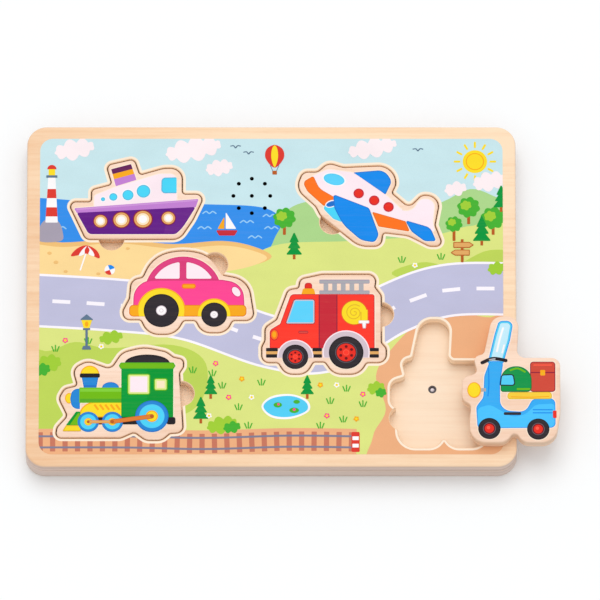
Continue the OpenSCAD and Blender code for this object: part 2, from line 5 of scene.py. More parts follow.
import bmesh
import bpy
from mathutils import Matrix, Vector


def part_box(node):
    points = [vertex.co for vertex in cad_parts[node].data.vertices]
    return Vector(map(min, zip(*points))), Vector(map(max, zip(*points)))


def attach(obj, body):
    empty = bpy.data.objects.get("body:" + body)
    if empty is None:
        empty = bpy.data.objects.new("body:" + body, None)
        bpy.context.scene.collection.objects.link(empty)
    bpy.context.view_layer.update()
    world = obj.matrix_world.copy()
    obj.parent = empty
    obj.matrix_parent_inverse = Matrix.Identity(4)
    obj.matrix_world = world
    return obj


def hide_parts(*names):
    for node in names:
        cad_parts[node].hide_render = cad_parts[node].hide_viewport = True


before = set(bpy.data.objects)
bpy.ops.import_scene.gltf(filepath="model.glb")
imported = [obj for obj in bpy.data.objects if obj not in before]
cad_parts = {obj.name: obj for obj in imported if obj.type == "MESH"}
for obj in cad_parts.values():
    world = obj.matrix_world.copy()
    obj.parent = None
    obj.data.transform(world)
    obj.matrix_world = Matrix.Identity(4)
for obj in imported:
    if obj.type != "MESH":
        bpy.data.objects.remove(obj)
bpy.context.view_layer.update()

bl_info = {
    "name": "Wooden sound puzzle",
    "version": (1, 0, 0),
    "blender": (4, 5, 0),
    "location": "View3D > Sidebar > Puzzle",
    "description": "Dresses a printed wooden board with six vehicle pieces and sets a stage for it",
    "category": "Object",
}

MM = 0.001
FACE_LOW, FACE_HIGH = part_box("face_panel")
FACE_BOTTOM = FACE_LOW[2] / MM
FACE_TOP = FACE_HIGH[2] / MM

# The piece that lies beside its pocket, and how far to the right, in mm
LOOSE = "scooter"
LOOSE_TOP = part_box(LOOSE + "_piece")[1][2] / MM
LOOSE_SHIFT = 43.0

# How finely round forms are drawn: angle of one step, points round a disc, segments over an edge
ARC_STEP = math.radians(7)
WIDE_POINTS = 64
DISC_POINTS = 40
SMALL_POINTS = 20
TINY_POINTS = 14
TIP_STEPS = 6
BOARD_SEGMENTS = 5
PIECE_SEGMENTS = 4
LOWER_SEGMENTS = 2
SMOOTH_ANGLE = math.radians(28)

# Corners of the print and the least rounding of a grown corner, in mm
SOFT_CORNER = 0.6
LEAST_CORNER = 0.1

# How much of its radius rounds a disc's four corners, and how far a line's end is round, in degrees
DISC_CORNER = 0.999
TIP_REACH = 75

# How far a cutting form runs past what it cuts, and how close to a height an edge lies at it, in mm
PAST = 1.0
NEAR = 0.01

# The rounded rim of a pocket: degrees up from its wall, then how far it runs on, as shares of its rounding
RIM_ANGLES = (22, 45, 66)
RIM_OUT = 1.4
RIM_UP = 0.25

# Which of the face panel's materials a face takes, by how far its normal points up or down
ROUTED = 1
# The sound holes' walls are near-black: painted shade for the darkness down the narrow holes
HOLE_SHADE = 2
STEEP = 0.5
LEVEL = 0.95

# Each piece: where its seat is on the board, its finger notch, and its corners as x, y, rounding, in mm
VEHICLES = {
    "boat": {
        "seat": (-82, 55),
        "notch": (-16, -17),
        "corners": [
            (-42.5, 6.5, 3), (-28, 6.5, 2.5), (-28, 14.5, 2.5), (-15.5, 18, 2.5), (-19, 30.5, 3),
            (-2.5, 34.5, 3), (1, 24, 2.5), (16, 28.5, 14), (27, 28.5, 7), (27, 11.5, 2.5),
            (41, 11.5, 3.5), (33.5, -5, 25), (25.5, -17.5, 8), (-31.5, -17.5, 4),
        ],
    },
    "plane": {
        "seat": (58, 58),
        "notch": (-20.5, -9.5),
        "corners": [
            (-42.5, 12.5, 9), (-38.5, 23, 4.5), (-29.5, 23, 5), (-23, 29, 6), (-14, 26, 10),
            (18, 27.5, 10.5), (18, 15, 4), (15.5, 9.5, 2.5), (26.5, -0.5, 4.5), (34.5, 8, 5),
            (45.5, 7, 7), (42, -11.5, 3), (47, -25, 3), (39, -25, 6), (26, -18, 15),
            (10, -16, 2.5), (9, -25, 4.5), (-4, -25, 14), (-27.5, -5, 6), (-30.5, 1, 8),
        ],
    },
    "car": {
        "seat": (-52, 3),
        "notch": (17.5, 17.5),
        "corners": [
            (-38.5, -12.5, 4), (-34.5, -4.5, 5), (-33.5, 7.5, 5.5), (-26.5, 9, 3.5), (-20, 23.5, 20),
            (-2, 27, 35), (13.5, 24, 18), (22, 10.5, 3.5), (37.5, 7.5, 13), (41.5, -18.5, 4.5),
            (28, -18.5, 3), (24, -26.5, 8), (10, -26.5, 8), (6, -18.5, 3), (-2, -18.5, 3),
            (-7, -27.5, 10), (-23, -27.5, 10), (-27.5, -18, 2.8), (-38, -18, 4),
        ],
    },
    "fire_engine": {
        "seat": (31, -17),
        "notch": (36, 5),
        "corners": [
            (-36.5, -16, 4), (-34.5, -12, 4), (-34.5, -3.5, 4.5), (-27.5, 1.5, 4), (-20.5, 21, 4),
            (-14, 22, 2.5), (-13, 28, 3.5), (0, 31, 8), (33.5, 31, 4.5), (32, 23, 2.5),
            (36, 17.5, 4), (36, -13.5, 3), (39, -17, 3), (39, -26, 5), (27, -26, 3),
            (22.5, -33.5, 9), (7.5, -33.5, 9), (2, -25.5, 3), (-5.5, -25.5, 3), (-10, -33.5, 7.5),
            (-22, -33.5, 7.5), (-26.5, -26, 3), (-36.5, -26, 4.5),
        ],
    },
    "locomotive": {
        "seat": (-88, -65),
        "notch": (33, 1.5),
        "corners": [
            (-43.5, -27, 3), (-42.5, -20.5, 4), (-36, -13, 4), (-41.5, -1.5, 5), (-38, 4.5, 4),
            (-30, 6.5, 2.5), (-33, 17.5, 5.5), (-24.5, 22.5, 8), (-10, 17, 5), (-3, 28, 9),
            (10, 31.5, 20), (23.5, 28.5, 8), (28, 25, 4), (34, 23.5, 2.5), (34, 19, 2.5),
            (31.5, 15, 3), (34, -23.5, 4), (26, -24, 3), (21, -28.5, 7), (11.5, -28.5, 7),
            (4.5, -23, 4), (-4, -27, 5),
        ],
    },
    "scooter": {
        "seat": (98.5, -58),
        "notch": (-18.5, -21.5),
        "corners": [
            (-20.5, -27, 10), (-19.5, -15.5, 3), (-25, -12.5, 5), (-25, 2, 5), (-15.5, 5, 3),
            (-18, 15.5, 3.5), (-11.5, 17.5, 3.5), (-6.5, 42, 8), (10, 42, 7), (8.5, 15, 5),
            (35, 15, 5.5), (35, -20, 15), (32, -40, 10), (12, -40, 8), (8.5, -34.5, 2.6),
            (5.5, -34.5, 2.6), (2, -40, 8), (-20, -40, 10),
        ],
    },
}

# Painted light: how the face panel's tone lightens per metre towards the right and the back, where the light
# falls brighter
FACE_PAINTED_LIGHT = (1.6, 1.2, 0)

# How far the white ground stands out round a printed figure, in mm
UNDERPRINT = 0.55

# Width of the rim round a wheel arch, in mm
ARCH_RIM = 0.7

# How many coats of ink lie below the later parts of the landscape
WHITE_COATS = 1
GROUND_COATS = 10
TRACK_COATS = 7
PLANT_COATS = 15

# Rooms that the face panel leaves for the speaker, its sound holes and the battery tray, in mm
SPEAKER_AT = (-12, 65.5)
SPEAKER_ROOM = 13
SPEAKER_ROOM_TOP = 14
SOUND_HOLE = 1.25
SOUND_RING = 11.3
SOUND_RING_HOLES = 8
TRAY_AT = (6, -77)
TRAY_ROOM = (63.2, 27.1)
TRAY_ROOM_TOP = 15

# Marks in the wood, as their number per metre along each axis
BANDS = (4, 40, 40)
STREAKS = (16, 460, 460)
PRINTED_STREAKS = (22, 620, 620)
PORES = (160, 3400, 3400)
PLIES = (3, 3, 620)
SPECKLE = (3200, 3200, 3200)
CLOUDING = (34, 60, 60)
MOTTLING = (40, 40, 40)

# How much the wood shows through the ink, and how strongly lacquer and ink reflect
INK_THINNESS = 0.02
LACQUER_SHINE = 0.15
INK_SHINE = 0.05

# Stage: floor in metres, its light towards the part, and where the lamp stands and shines
FLOOR_SIZE = 8
FLOOR_DROP = 0.02 * MM
FLOOR_BOUNCE = (0.8, 0.8, 0.8, 1)
FLOOR_ROUGHNESS = 0.9
LAMP_PLACE = (-0.4, 0.5, 1.5)
LAMP_WAY = (0.02, -0.46, -1.0)

# How far under the face the camera aims, and how far it sees, in metres
AIM_DROP = 0.85 * MM
VIEW_END = 100


def linear(r, g, b):
    """A screen colour in 0 to 255 as Blender's linear colour."""
    result = []
    for part in (r / 255, g / 255, b / 255):
        result.append(part / 12.92 if part <= 0.04045 else ((part + 0.055) / 1.055) ** 2.4)
    return tuple(result)


def length(name, description, millimetres):
    """A size that a user would change."""
    return bpy.props.FloatProperty(
        name=name, description=description, default=millimetres * MM, min=0, unit="LENGTH", precision=5
    )


def tint(name, r, g, b):
    """A colour that a user would change."""
    return bpy.props.FloatVectorProperty(
        name=name, description="Colour: " + name.lower(), default=linear(r, g, b), size=3, min=0, max=1,
        subtype="COLOR",
    )


class PuzzleSizes(bpy.types.PropertyGroup):
    """Sizes of the wood and the print."""

    board_corner: length("Board corner", "Rounding of the board's four corners", 12)
    board_round: length("Board edge", "Rounding of the board's upper edge", 1.5)
    board_joint: length("Board joint", "Rounding of the face panel's lower edge, on the base", 0.5)
    piece_round: length("Piece edge", "Rounding of a piece's upper edge", 0.8)
    piece_foot: length("Piece foot", "Rounding of a piece's lower edge", 0.4)
    pocket_gap: length("Pocket gap", "Gap round a piece in its pocket", 0.7)
    pocket_round: length("Pocket rim", "Rounding of a pocket's rim", 0.55)
    finger_radius: length("Finger notch", "Radius of a finger notch", 7.8)
    bare_rim: length("Bare rim", "Unprinted wood round a pocket", 0.5)
    white_rim: length("White rim", "White ground that shows round a pocket", 1.3)
    print_margin: length("Print margin", "Unprinted wood along the board's edge", 8)
    print_corner: length("Print corner", "Rounding of the print's corners", 8)
    ink_sink: length("Ink sink", "How far the ink goes into the wood", 0.05)
    ink_step: length("Ink step", "How far one coat of ink lies over the last", 0.006)


class PuzzleWood(bpy.types.PropertyGroup):
    """Colours of the bare wood."""

    face_light: tint("Face wood, light", 254, 225, 192)
    face_dark: tint("Face wood, streak", 239, 193, 151)
    base_light: tint("Base wood, light", 255, 235, 210)
    base_dark: tint("Base wood, streak", 250, 223, 195)
    piece_light: tint("Piece wood, light", 255, 228, 208)
    piece_dark: tint("Piece wood, streak", 240, 198, 168)
    cut_edge: tint("Cut edge of the wood", 218, 198, 190)
    routed_edge: tint("Routed edge of the wood", 255, 228, 198)
    piece_edge: tint("Edge of a piece", 246, 212, 182)


class PuzzleInks(bpy.types.PropertyGroup):
    """Colours of the printing inks."""

    sky: tint("Sky", 200, 230, 236)
    cloud: tint("Cloud", 252, 238, 241)
    sun: tint("Sun", 252, 222, 40)
    sea: tint("Sea", 52, 143, 235)
    foam: tint("Foam", 150, 205, 246)
    sand: tint("Sand", 252, 218, 152)
    sand_shade: tint("Wet sand", 240, 192, 120)
    far_hill: tint("Far hill", 172, 214, 140)
    meadow: tint("Meadow", 220, 229, 132)
    meadow_shade: tint("Meadow shade", 190, 214, 90)
    bush: tint("Bush", 160, 206, 56)
    leaf: tint("Leaf", 70, 178, 52)
    fir: tint("Fir", 8, 150, 62)
    trunk: tint("Trunk", 184, 92, 36)
    road: tint("Road", 192, 192, 220)
    road_line: tint("Road line", 251, 246, 253)
    soil: tint("Soil", 238, 176, 130)
    sleeper: tint("Sleeper", 200, 120, 96)
    rail: tint("Rail", 130, 128, 150)
    rock: tint("Rock", 168, 160, 176)
    sign: tint("Sign red", 222, 60, 50)
    post: tint("Post", 95, 120, 145)
    white: tint("White", 252, 249, 250)
    ground_white: tint("White under the print", 254, 236, 214)
    blush: tint("Blush white", 253, 234, 242)
    cream: tint("Cream", 250, 232, 196)
    black: tint("Black", 38, 34, 40)
    tyre: tint("Tyre", 48, 44, 50)
    tyre_ring: tint("Tyre ring", 104, 96, 106)
    purple: tint("Purple", 98, 28, 134)
    plum: tint("Plum", 106, 38, 138)
    dark_purple: tint("Dark purple", 102, 36, 90)
    lilac: tint("Lilac", 194, 128, 210)
    light_lilac: tint("Light lilac", 208, 152, 220)
    cyan: tint("Cyan", 84, 206, 244)
    bright_cyan: tint("Bright cyan", 74, 214, 248)
    pale_cyan: tint("Pale cyan", 92, 210, 251)
    glass: tint("Glass", 196, 236, 250)
    porthole: tint("Porthole rim", 88, 186, 222)
    orange: tint("Orange", 254, 116, 32)
    orange_shade: tint("Orange shade", 226, 112, 40)
    blue: tint("Blue", 22, 139, 236)
    blue_shade: tint("Blue shade", 34, 112, 202)
    red: tint("Red", 232, 48, 36)
    coral: tint("Coral", 254, 92, 72)
    maroon: tint("Maroon", 200, 42, 58)
    wine: tint("Wine", 144, 36, 60)
    dark_wine: tint("Dark wine", 112, 18, 28)
    pink: tint("Pink", 253, 70, 148)
    hot_pink: tint("Hot pink", 224, 66, 130)
    pink_shade: tint("Pink shade", 218, 62, 122)
    yellow: tint("Yellow", 250, 220, 40)
    mustard: tint("Mustard", 226, 184, 44)
    amber: tint("Amber", 248, 170, 30)
    engine_red: tint("Engine red", 252, 60, 46)
    grey: tint("Grey", 172, 172, 178)
    arch_grey: tint("Arch grey", 210, 194, 204)
    tan: tint("Tan", 226, 170, 100)
    green: tint("Green", 0, 151, 54)
    bright_green: tint("Bright green", 0, 156, 60)
    dark_green: tint("Dark green", 6, 112, 56)
    grass: tint("Grass green", 84, 170, 40)
    light_green: tint("Light green", 112, 186, 20)
    lime: tint("Lime", 130, 206, 60)
    pale_lime: tint("Pale lime", 222, 236, 140)
    train_blue: tint("Train blue", 38, 136, 214)
    rod: tint("Rod", 225, 127, 54)
    scooter_blue: tint("Scooter blue", 56, 172, 242)
    bright_blue: tint("Bright blue", 74, 194, 254)
    helmet: tint("Helmet", 16, 150, 76)
    box_red: tint("Top box", 208, 76, 60)
    seat_yellow: tint("Seat", 248, 206, 64)


class PuzzleStage(bpy.types.PropertyGroup):
    """Camera, light and floor."""

    elevation: bpy.props.FloatProperty(
        name="Camera elevation", description="Angle of the view over the floor",
        default=math.radians(69.7), subtype="ANGLE",
    )
    distance: bpy.props.FloatProperty(
        name="Camera distance", description="Distance of the camera", default=10, unit="LENGTH"
    )
    view_width: length("View width", "Width of the board's plane that the picture shows", 367.4)
    aim_x: length("Aim across", "Point under the picture's middle, along the board", 17.57)
    aim_y: bpy.props.FloatProperty(
        name="Aim along", description="Point under the picture's middle, across the board",
        default=-2.3 * MM, unit="LENGTH", precision=5,
    )
    sky_light: bpy.props.FloatProperty(
        name="Room light", description="Even light from all round", default=0.78
    )
    lamp_light: bpy.props.FloatProperty(
        name="Lamp light", description="Strength of the soft lamp", default=0.86
    )
    lamp_spread: bpy.props.FloatProperty(
        name="Lamp spread", description="How wide the soft lamp looks", default=math.radians(46),
        subtype="ANGLE",
    )
    floor: tint("Floor", 252, 254, 255)


def sizes():
    """The sizes that the user has set."""
    return bpy.context.scene.puzzle_sizes


def in_mm(metres):
    return metres / MM


# Outlines, all in mm

def unit(start, end):
    """Direction from one point to another."""
    gap = math.dist(start[:2], end[:2])
    return ((end[0] - start[0]) / gap, (end[1] - start[1]) / gap)


def moved(points, shift):
    """The same points in another place; a corner keeps its rounding."""
    return [(p[0] + shift[0], p[1] + shift[1], *p[2:]) for p in points]


def grown(corners, growth):
    """The corners of a clockwise outline moved outwards, so that its sides stay parallel."""
    result = []
    for index, (x, y, r) in enumerate(corners):
        before = unit(corners[index - 1], corners[index])
        after = unit(corners[index], corners[(index + 1) % len(corners)])
        share = growth / (1 + before[0] * after[0] + before[1] * after[1])
        bulges = before[0] * after[1] - before[1] * after[0] < 0
        new_r = max(r + growth if bulges else r - growth, LEAST_CORNER)
        result.append((x - (before[1] + after[1]) * share, y + (before[0] + after[0]) * share, new_r))
    return result


def rounded(corners):
    """Points round an outline whose corners are x, y, rounding."""
    points = []
    for index, (x, y, r) in enumerate(corners):
        before = unit(corners[index - 1], corners[index])
        after = unit(corners[index], corners[(index + 1) % len(corners)])
        turn = math.atan2(
            before[0] * after[1] - before[1] * after[0], before[0] * after[0] + before[1] * after[1]
        )
        side = 1 if turn > 0 else -1
        reach = r * math.tan(abs(turn) / 2)
        start = (x - before[0] * reach, y - before[1] * reach)
        middle = (start[0] - before[1] * side * r, start[1] + before[0] * side * r)
        steps = max(1, math.ceil(abs(turn) / ARC_STEP))
        for step in range(steps + 1):
            angle = turn * step / steps
            arm = (start[0] - middle[0], start[1] - middle[1])
            points.append((
                middle[0] + arm[0] * math.cos(angle) - arm[1] * math.sin(angle),
                middle[1] + arm[0] * math.sin(angle) + arm[1] * math.cos(angle),
            ))
    return points


def soft(points, r=SOFT_CORNER):
    """An outline with all its corners rounded alike."""
    return rounded([(x, y, r) for x, y in points])


def box_corners(left, low, right, high, r=SOFT_CORNER):
    """A rectangle as corners, so that it can be grown."""
    return [(left, low, r), (left, high, r), (right, high, r), (right, low, r)]


def box(left, low, right, high, r=SOFT_CORNER):
    """A rectangle with rounded corners."""
    return rounded(box_corners(left, low, right, high, r))


def disc_corners(x, y, r):
    """A disc as four rounded corners, so that it can be grown."""
    return box_corners(x - r, y - r, x + r, y + r, r * DISC_CORNER)


def places_round(x, y, r, count, start=0):
    """Places at even angles round a middle, the first one a share of a step on from the right."""
    result = []
    for index in range(count):
        angle = 2 * math.pi * (index + start) / count
        result.append((x + r * math.cos(angle), y + r * math.sin(angle)))
    return result


def ellipse(x, y, rx, ry=None, turn=0, points=DISC_POINTS):
    """A circle or an ellipse, turned by degrees."""
    ry = rx if ry is None else ry
    tilt = math.radians(turn)
    result = []
    for step in range(points):
        angle = 2 * math.pi * step / points
        across = rx * math.cos(angle)
        up = ry * math.sin(angle)
        result.append((
            x + across * math.cos(tilt) - up * math.sin(tilt),
            y + across * math.sin(tilt) + up * math.cos(tilt),
        ))
    return result


def sector(x, y, r, start, end, steps=24):
    """The part of a disc between two angles in degrees, cut straight across its ends."""
    result = []
    for step in range(steps + 1):
        angle = math.radians(start + (end - start) * step / steps)
        result.append((x + r * math.cos(angle), y + r * math.sin(angle)))
    return result


def dome(x, y, r, rise=1.0):
    """The upper half of a disc, pressed down to a share of its height."""
    return [(across, y + (up - y) * rise) for across, up in sector(x, y, r, 0, 180)]


def curve_point(a, b, c, d, t):
    """A point between b and c on a smooth curve through a, b, c, d."""
    result = []
    for p, q, r, s in zip(a, b, c, d):
        result.append(0.5 * (
            2 * q + (r - p) * t + (2 * p - 5 * q + 4 * r - s) * t * t + (3 * q - p - 3 * r + s) * t ** 3
        ))
    return tuple(result)


def smooth(points, per=6):
    """A closed smooth outline through the points."""
    count = len(points)
    result = []
    for index in range(count):
        four = [points[(index + k) % count] for k in (-1, 0, 1, 2)]
        result += [curve_point(*four, step / per) for step in range(per)]
    return result


def smooth_path(points, per=8):
    """An open smooth path through the points."""
    ends = [points[0], *points, points[-1]]
    result = []
    for index in range(len(points) - 1):
        result += [curve_point(*ends[index:index + 4], step / per) for step in range(per)]
    result.append(points[-1])
    return result


def ribbon(path, width):
    """A band of even width along a path."""
    left = []
    right = []
    for index, point in enumerate(path):
        way = unit(path[max(index - 1, 0)], path[min(index + 1, len(path) - 1)])
        left.append((point[0] - way[1] * width / 2, point[1] + way[0] * width / 2))
        right.append((point[0] + way[1] * width / 2, point[1] - way[0] * width / 2))
    return left + right[::-1]


def stroke(points, width):
    """A smooth line with round ends."""
    path = smooth_path(points) if len(points) > 2 else list(points)
    way_in = unit(path[0], path[1])
    way_out = unit(path[-2], path[-1])
    tip_in = math.degrees(math.atan2(way_in[1], way_in[0]))
    tip_out = math.degrees(math.atan2(way_out[1], way_out[0]))
    band = ribbon(path, width)
    half = len(path)
    end = sector(*path[-1], width / 2, tip_out + TIP_REACH, tip_out - TIP_REACH, TIP_STEPS)
    back = tip_in - 180
    start = sector(*path[0], width / 2, back + TIP_REACH, back - TIP_REACH, TIP_STEPS)
    return band[:half] + end + band[half:] + start


def scalloped(points, bulge=0.45, steps=7):
    """An outline of outward arcs between the points, which run anticlockwise."""
    result = []
    for index, start in enumerate(points):
        end = points[(index + 1) % len(points)]
        for step in range(steps):
            share = step / steps
            out = 4 * bulge * share * (1 - share)
            result.append((
                start[0] + (end[0] - start[0]) * share + (end[1] - start[1]) * out,
                start[1] + (end[1] - start[1]) * share - (end[0] - start[0]) * out,
            ))
    return result


def puff(x, y, width, height, lobes=9, bulge=0.42):
    """A cloud or a crown of leaves."""
    return scalloped(ellipse(x, y, width / 2, height / 2, turn=12, points=lobes), bulge)


def along(path, spacing):
    """Places at even spacing along a path, each with its direction."""
    result = []
    gone = 0
    due = spacing / 2
    for start, end in zip(path, path[1:]):
        step = math.dist(start, end)
        while gone + step >= due:
            share = (due - gone) / step
            place = (start[0] + (end[0] - start[0]) * share, start[1] + (end[1] - start[1]) * share)
            result.append((place, unit(start, end)))
            due += spacing
        gone += step
    return result


def bar_at(place, way, length_along, width):
    """A short straight bar in a given direction."""
    half = (way[0] * length_along / 2, way[1] * length_along / 2)
    ends = [(place[0] - half[0], place[1] - half[1]), (place[0] + half[0], place[1] + half[1])]
    return ribbon(ends, width)


# Meshes

def deselect_all():
    """Leaves edit mode and clears the selection."""
    if bpy.context.object and bpy.context.object.mode != "OBJECT":
        bpy.ops.object.mode_set(mode="OBJECT")
    bpy.ops.object.select_all(action="DESELECT")


def make_active(piece):
    """Selects one piece alone."""
    deselect_all()
    piece.select_set(True)
    bpy.context.view_layer.objects.active = piece


def recalculate_normals(piece):
    """Turns all faces of a piece outwards."""
    make_active(piece)
    bpy.ops.object.mode_set(mode="EDIT")
    bpy.ops.mesh.select_all(action="SELECT")
    bpy.ops.mesh.normals_make_consistent(inside=False)
    bpy.ops.object.mode_set(mode="OBJECT")


def slab(name, outlines, low, high):
    """Flat outlines drawn one by one and extruded upwards together."""
    deselect_all()
    piece = None
    for outline in outlines:
        if piece:
            bpy.ops.mesh.select_all(action="DESELECT")
        bpy.ops.mesh.primitive_circle_add(vertices=len(outline), radius=MM, fill_type="NGON")
        if piece is None:
            piece = bpy.context.object
            piece.name = name
            piece.data.name = name
            bpy.ops.object.mode_set(mode="EDIT")
            bpy.ops.mesh.select_all(action="SELECT")
        mesh = bmesh.from_edit_mesh(piece.data)
        drawn = [vertex for vertex in mesh.verts if vertex.select]
        for vertex, (x, y) in zip(drawn, outline):
            vertex.co = (x * MM, y * MM, low * MM)
    bpy.ops.mesh.select_all(action="SELECT")
    bpy.ops.mesh.extrude_region_move(TRANSFORM_OT_translate={"value": (0, 0, (high - low) * MM)})
    bpy.ops.mesh.select_all(action="SELECT")
    bpy.ops.mesh.normals_make_consistent(inside=False)
    bpy.ops.object.mode_set(mode="OBJECT")
    return piece


def round_edge(piece, height, r, segments):
    """Rounds the outer edges that lie flat at one height."""
    make_active(piece)
    bpy.ops.object.mode_set(mode="EDIT")
    bpy.ops.mesh.select_mode(type="EDGE")
    bpy.ops.mesh.select_all(action="DESELECT")
    mesh = bmesh.from_edit_mesh(piece.data)
    for edge in mesh.edges:
        edge.select = all(abs(vertex.co.z - height * MM) < NEAR * MM for vertex in edge.verts)
    bmesh.update_edit_mesh(piece.data)
    bpy.ops.mesh.bevel(
        offset=r, offset_type="OFFSET", segments=segments, profile=0.5, affect="EDGES",
        clamp_overlap=False, loop_slide=False,
    )
    bpy.ops.mesh.select_mode(type="VERT")
    bpy.ops.object.mode_set(mode="OBJECT")


def loft(name, rings):
    """A closed form through rings of equal point count, each with its height; used for cutting forms."""
    count = len(rings[0][0])
    points = [(x * MM, y * MM, z * MM) for ring, z in rings for x, y in ring]
    faces = [tuple(range(count)), tuple(range(len(points) - count, len(points)))]
    for level in range(len(rings) - 1):
        for index in range(count):
            following = (index + 1) % count
            faces.append((
                level * count + index, level * count + following,
                (level + 1) * count + following, (level + 1) * count + index,
            ))
    mesh = bpy.data.meshes.new(name)
    mesh.from_pydata(points, [], faces)
    piece = bpy.data.objects.new(name, mesh)
    bpy.context.scene.collection.objects.link(piece)
    recalculate_normals(piece)
    return piece


def cut(piece, tool, operation="DIFFERENCE", keep_tool=False):
    """Cuts a piece with a tool, and puts the tool away."""
    make_active(piece)
    modifier = piece.modifiers.new("cut", "BOOLEAN")
    modifier.operation = operation
    modifier.solver = "MANIFOLD"
    modifier.object = tool
    bpy.ops.object.modifier_apply(modifier=modifier.name)
    if not piece.data.polygons:
        raise RuntimeError("nothing is left of " + piece.name)
    if not keep_tool:
        bpy.data.objects.remove(tool, do_unlink=True)


def smooth_shading(piece):
    """Shades the flat steps of round forms as one surface."""
    make_active(piece)
    bpy.ops.object.shade_smooth_by_angle(angle=SMOOTH_ANGLE)


def paint(piece, *materials):
    """Gives a piece its materials, in the order of its slots."""
    piece.data.materials.clear()
    for material in materials:
        piece.data.materials.append(material)


def seat_of(name):
    """Where a piece lies at rest on the board."""
    seat = VEHICLES[name]["seat"]
    if name == LOOSE:
        return (seat[0] + LOOSE_SHIFT, seat[1])
    return seat


def pocket_ring(vehicle, gap):
    """The outline of a piece at its seat, with a gap round it."""
    return rounded(grown(moved(vehicle["corners"], vehicle["seat"]), gap))


def notch_ring(vehicle, r):
    """The outline of a finger notch."""
    middle = moved([vehicle["notch"]], vehicle["seat"])[0]
    return ellipse(*middle, r, points=WIDE_POINTS)


def flared_tool(name, ring, vehicle, width):
    """A cutting form with straight walls and a rounded rim at the face panel's top."""
    r = in_mm(sizes().pocket_round)
    wall = ring(vehicle, width)
    rings = [(wall, FACE_BOTTOM - PAST), (wall, FACE_TOP - r)]
    for angle in RIM_ANGLES:
        out = r * (1 - math.cos(math.radians(angle)))
        up = r * math.sin(math.radians(angle))
        rings.append((ring(vehicle, width + out), FACE_TOP - r + up))
    rings.append((ring(vehicle, width + r * RIM_OUT), FACE_TOP + r * RIM_UP))
    return loft(name, rings)


def sound_holes():
    """The speaker's hole pattern: one hole in the middle and a ring round it."""
    places = [SPEAKER_AT, *places_round(*SPEAKER_AT, SOUND_RING, SOUND_RING_HOLES)]
    return [ellipse(*place, SOUND_HOLE, points=SMALL_POINTS) for place in places]


def board_area(margin, corner):
    """The board's outline, less a margin; both sizes are in metres."""
    half_w = in_mm(FACE_HIGH[0] - margin)
    half_d = in_mm(FACE_HIGH[1] - margin)
    return box(-half_w, -half_d, half_w, half_d, in_mm(corner))


# Materials

def node(tree, kind, values=None, **settings):
    """A shader node with its settings; a value that is a socket is linked."""
    made = tree.nodes.new(kind)
    for key, value in settings.items():
        setattr(made, key, value)
    for key, value in (values or {}).items():
        if isinstance(value, bpy.types.NodeSocket):
            tree.links.new(value, made.inputs[key])
        else:
            made.inputs[key].default_value = value
    return made


def new_group(name, **inputs):
    """A shader group with the named inputs, which puts out a surface; with its input and output nodes."""
    group = bpy.data.node_groups.new(name, "ShaderNodeTree")
    for label, kind in inputs.items():
        group.interface.new_socket(label, in_out="INPUT", socket_type="NodeSocket" + kind)
    for label, kind in (("Colour", "Color"), ("Roughness", "Float"), ("Height", "Float")):
        group.interface.new_socket(label, in_out="OUTPUT", socket_type="NodeSocket" + kind)
    return group, group.nodes.new("NodeGroupInput"), group.nodes.new("NodeGroupOutput")


def put_out(group, result, colour, roughness, height):
    """Links what a group has worked out to its outputs."""
    for label, value in (("Colour", colour), ("Roughness", roughness), ("Height", height)):
        group.links.new(value, result.inputs[label])


def stretched_noise(tree, stretch, detail, roughness=0.55):
    """Noise on the piece's own coordinates, with its frequency per metre along each axis."""
    place = node(tree, "ShaderNodeTexCoord")
    stretched = node(tree, "ShaderNodeMapping", {"Vector": place.outputs["Object"], "Scale": stretch})
    return node(tree, "ShaderNodeTexNoise", {
        "Vector": stretched.outputs["Vector"], "Scale": 1.0, "Detail": detail, "Roughness": roughness,
    }).outputs["Fac"]


def spread(tree, value, low, high, to_low=0.0, to_high=1.0):
    """A value taken from one range to another, and held there."""
    return node(tree, "ShaderNodeMapRange", {
        "Value": value, "From Min": low, "From Max": high, "To Min": to_low, "To Max": to_high,
    }).outputs["Result"]


def sums(tree, operation, first, second):
    """Two values added, subtracted, multiplied, or the larger of them."""
    return node(tree, "ShaderNodeMath", {0: first, 1: second}, operation=operation).outputs["Value"]


def mixed(tree, share, first, second, blend="MIX"):
    """Two colours mixed by a share."""
    made = node(tree, "ShaderNodeMix", data_type="RGBA", blend_type=blend)
    for key, value in (("Factor_Float", share), ("A_Color", first), ("B_Color", second)):
        socket = next(s for s in made.inputs if s.identifier == key)
        if isinstance(value, bpy.types.NodeSocket):
            tree.links.new(value, socket)
        else:
            socket.default_value = value
    return next(s for s in made.outputs if s.identifier == "Result_Color")


def grey(tree, level):
    """A value as a grey."""
    parts = {"Red": level, "Green": level, "Blue": level}
    return node(tree, "ShaderNodeCombineColor", parts).outputs["Color"]


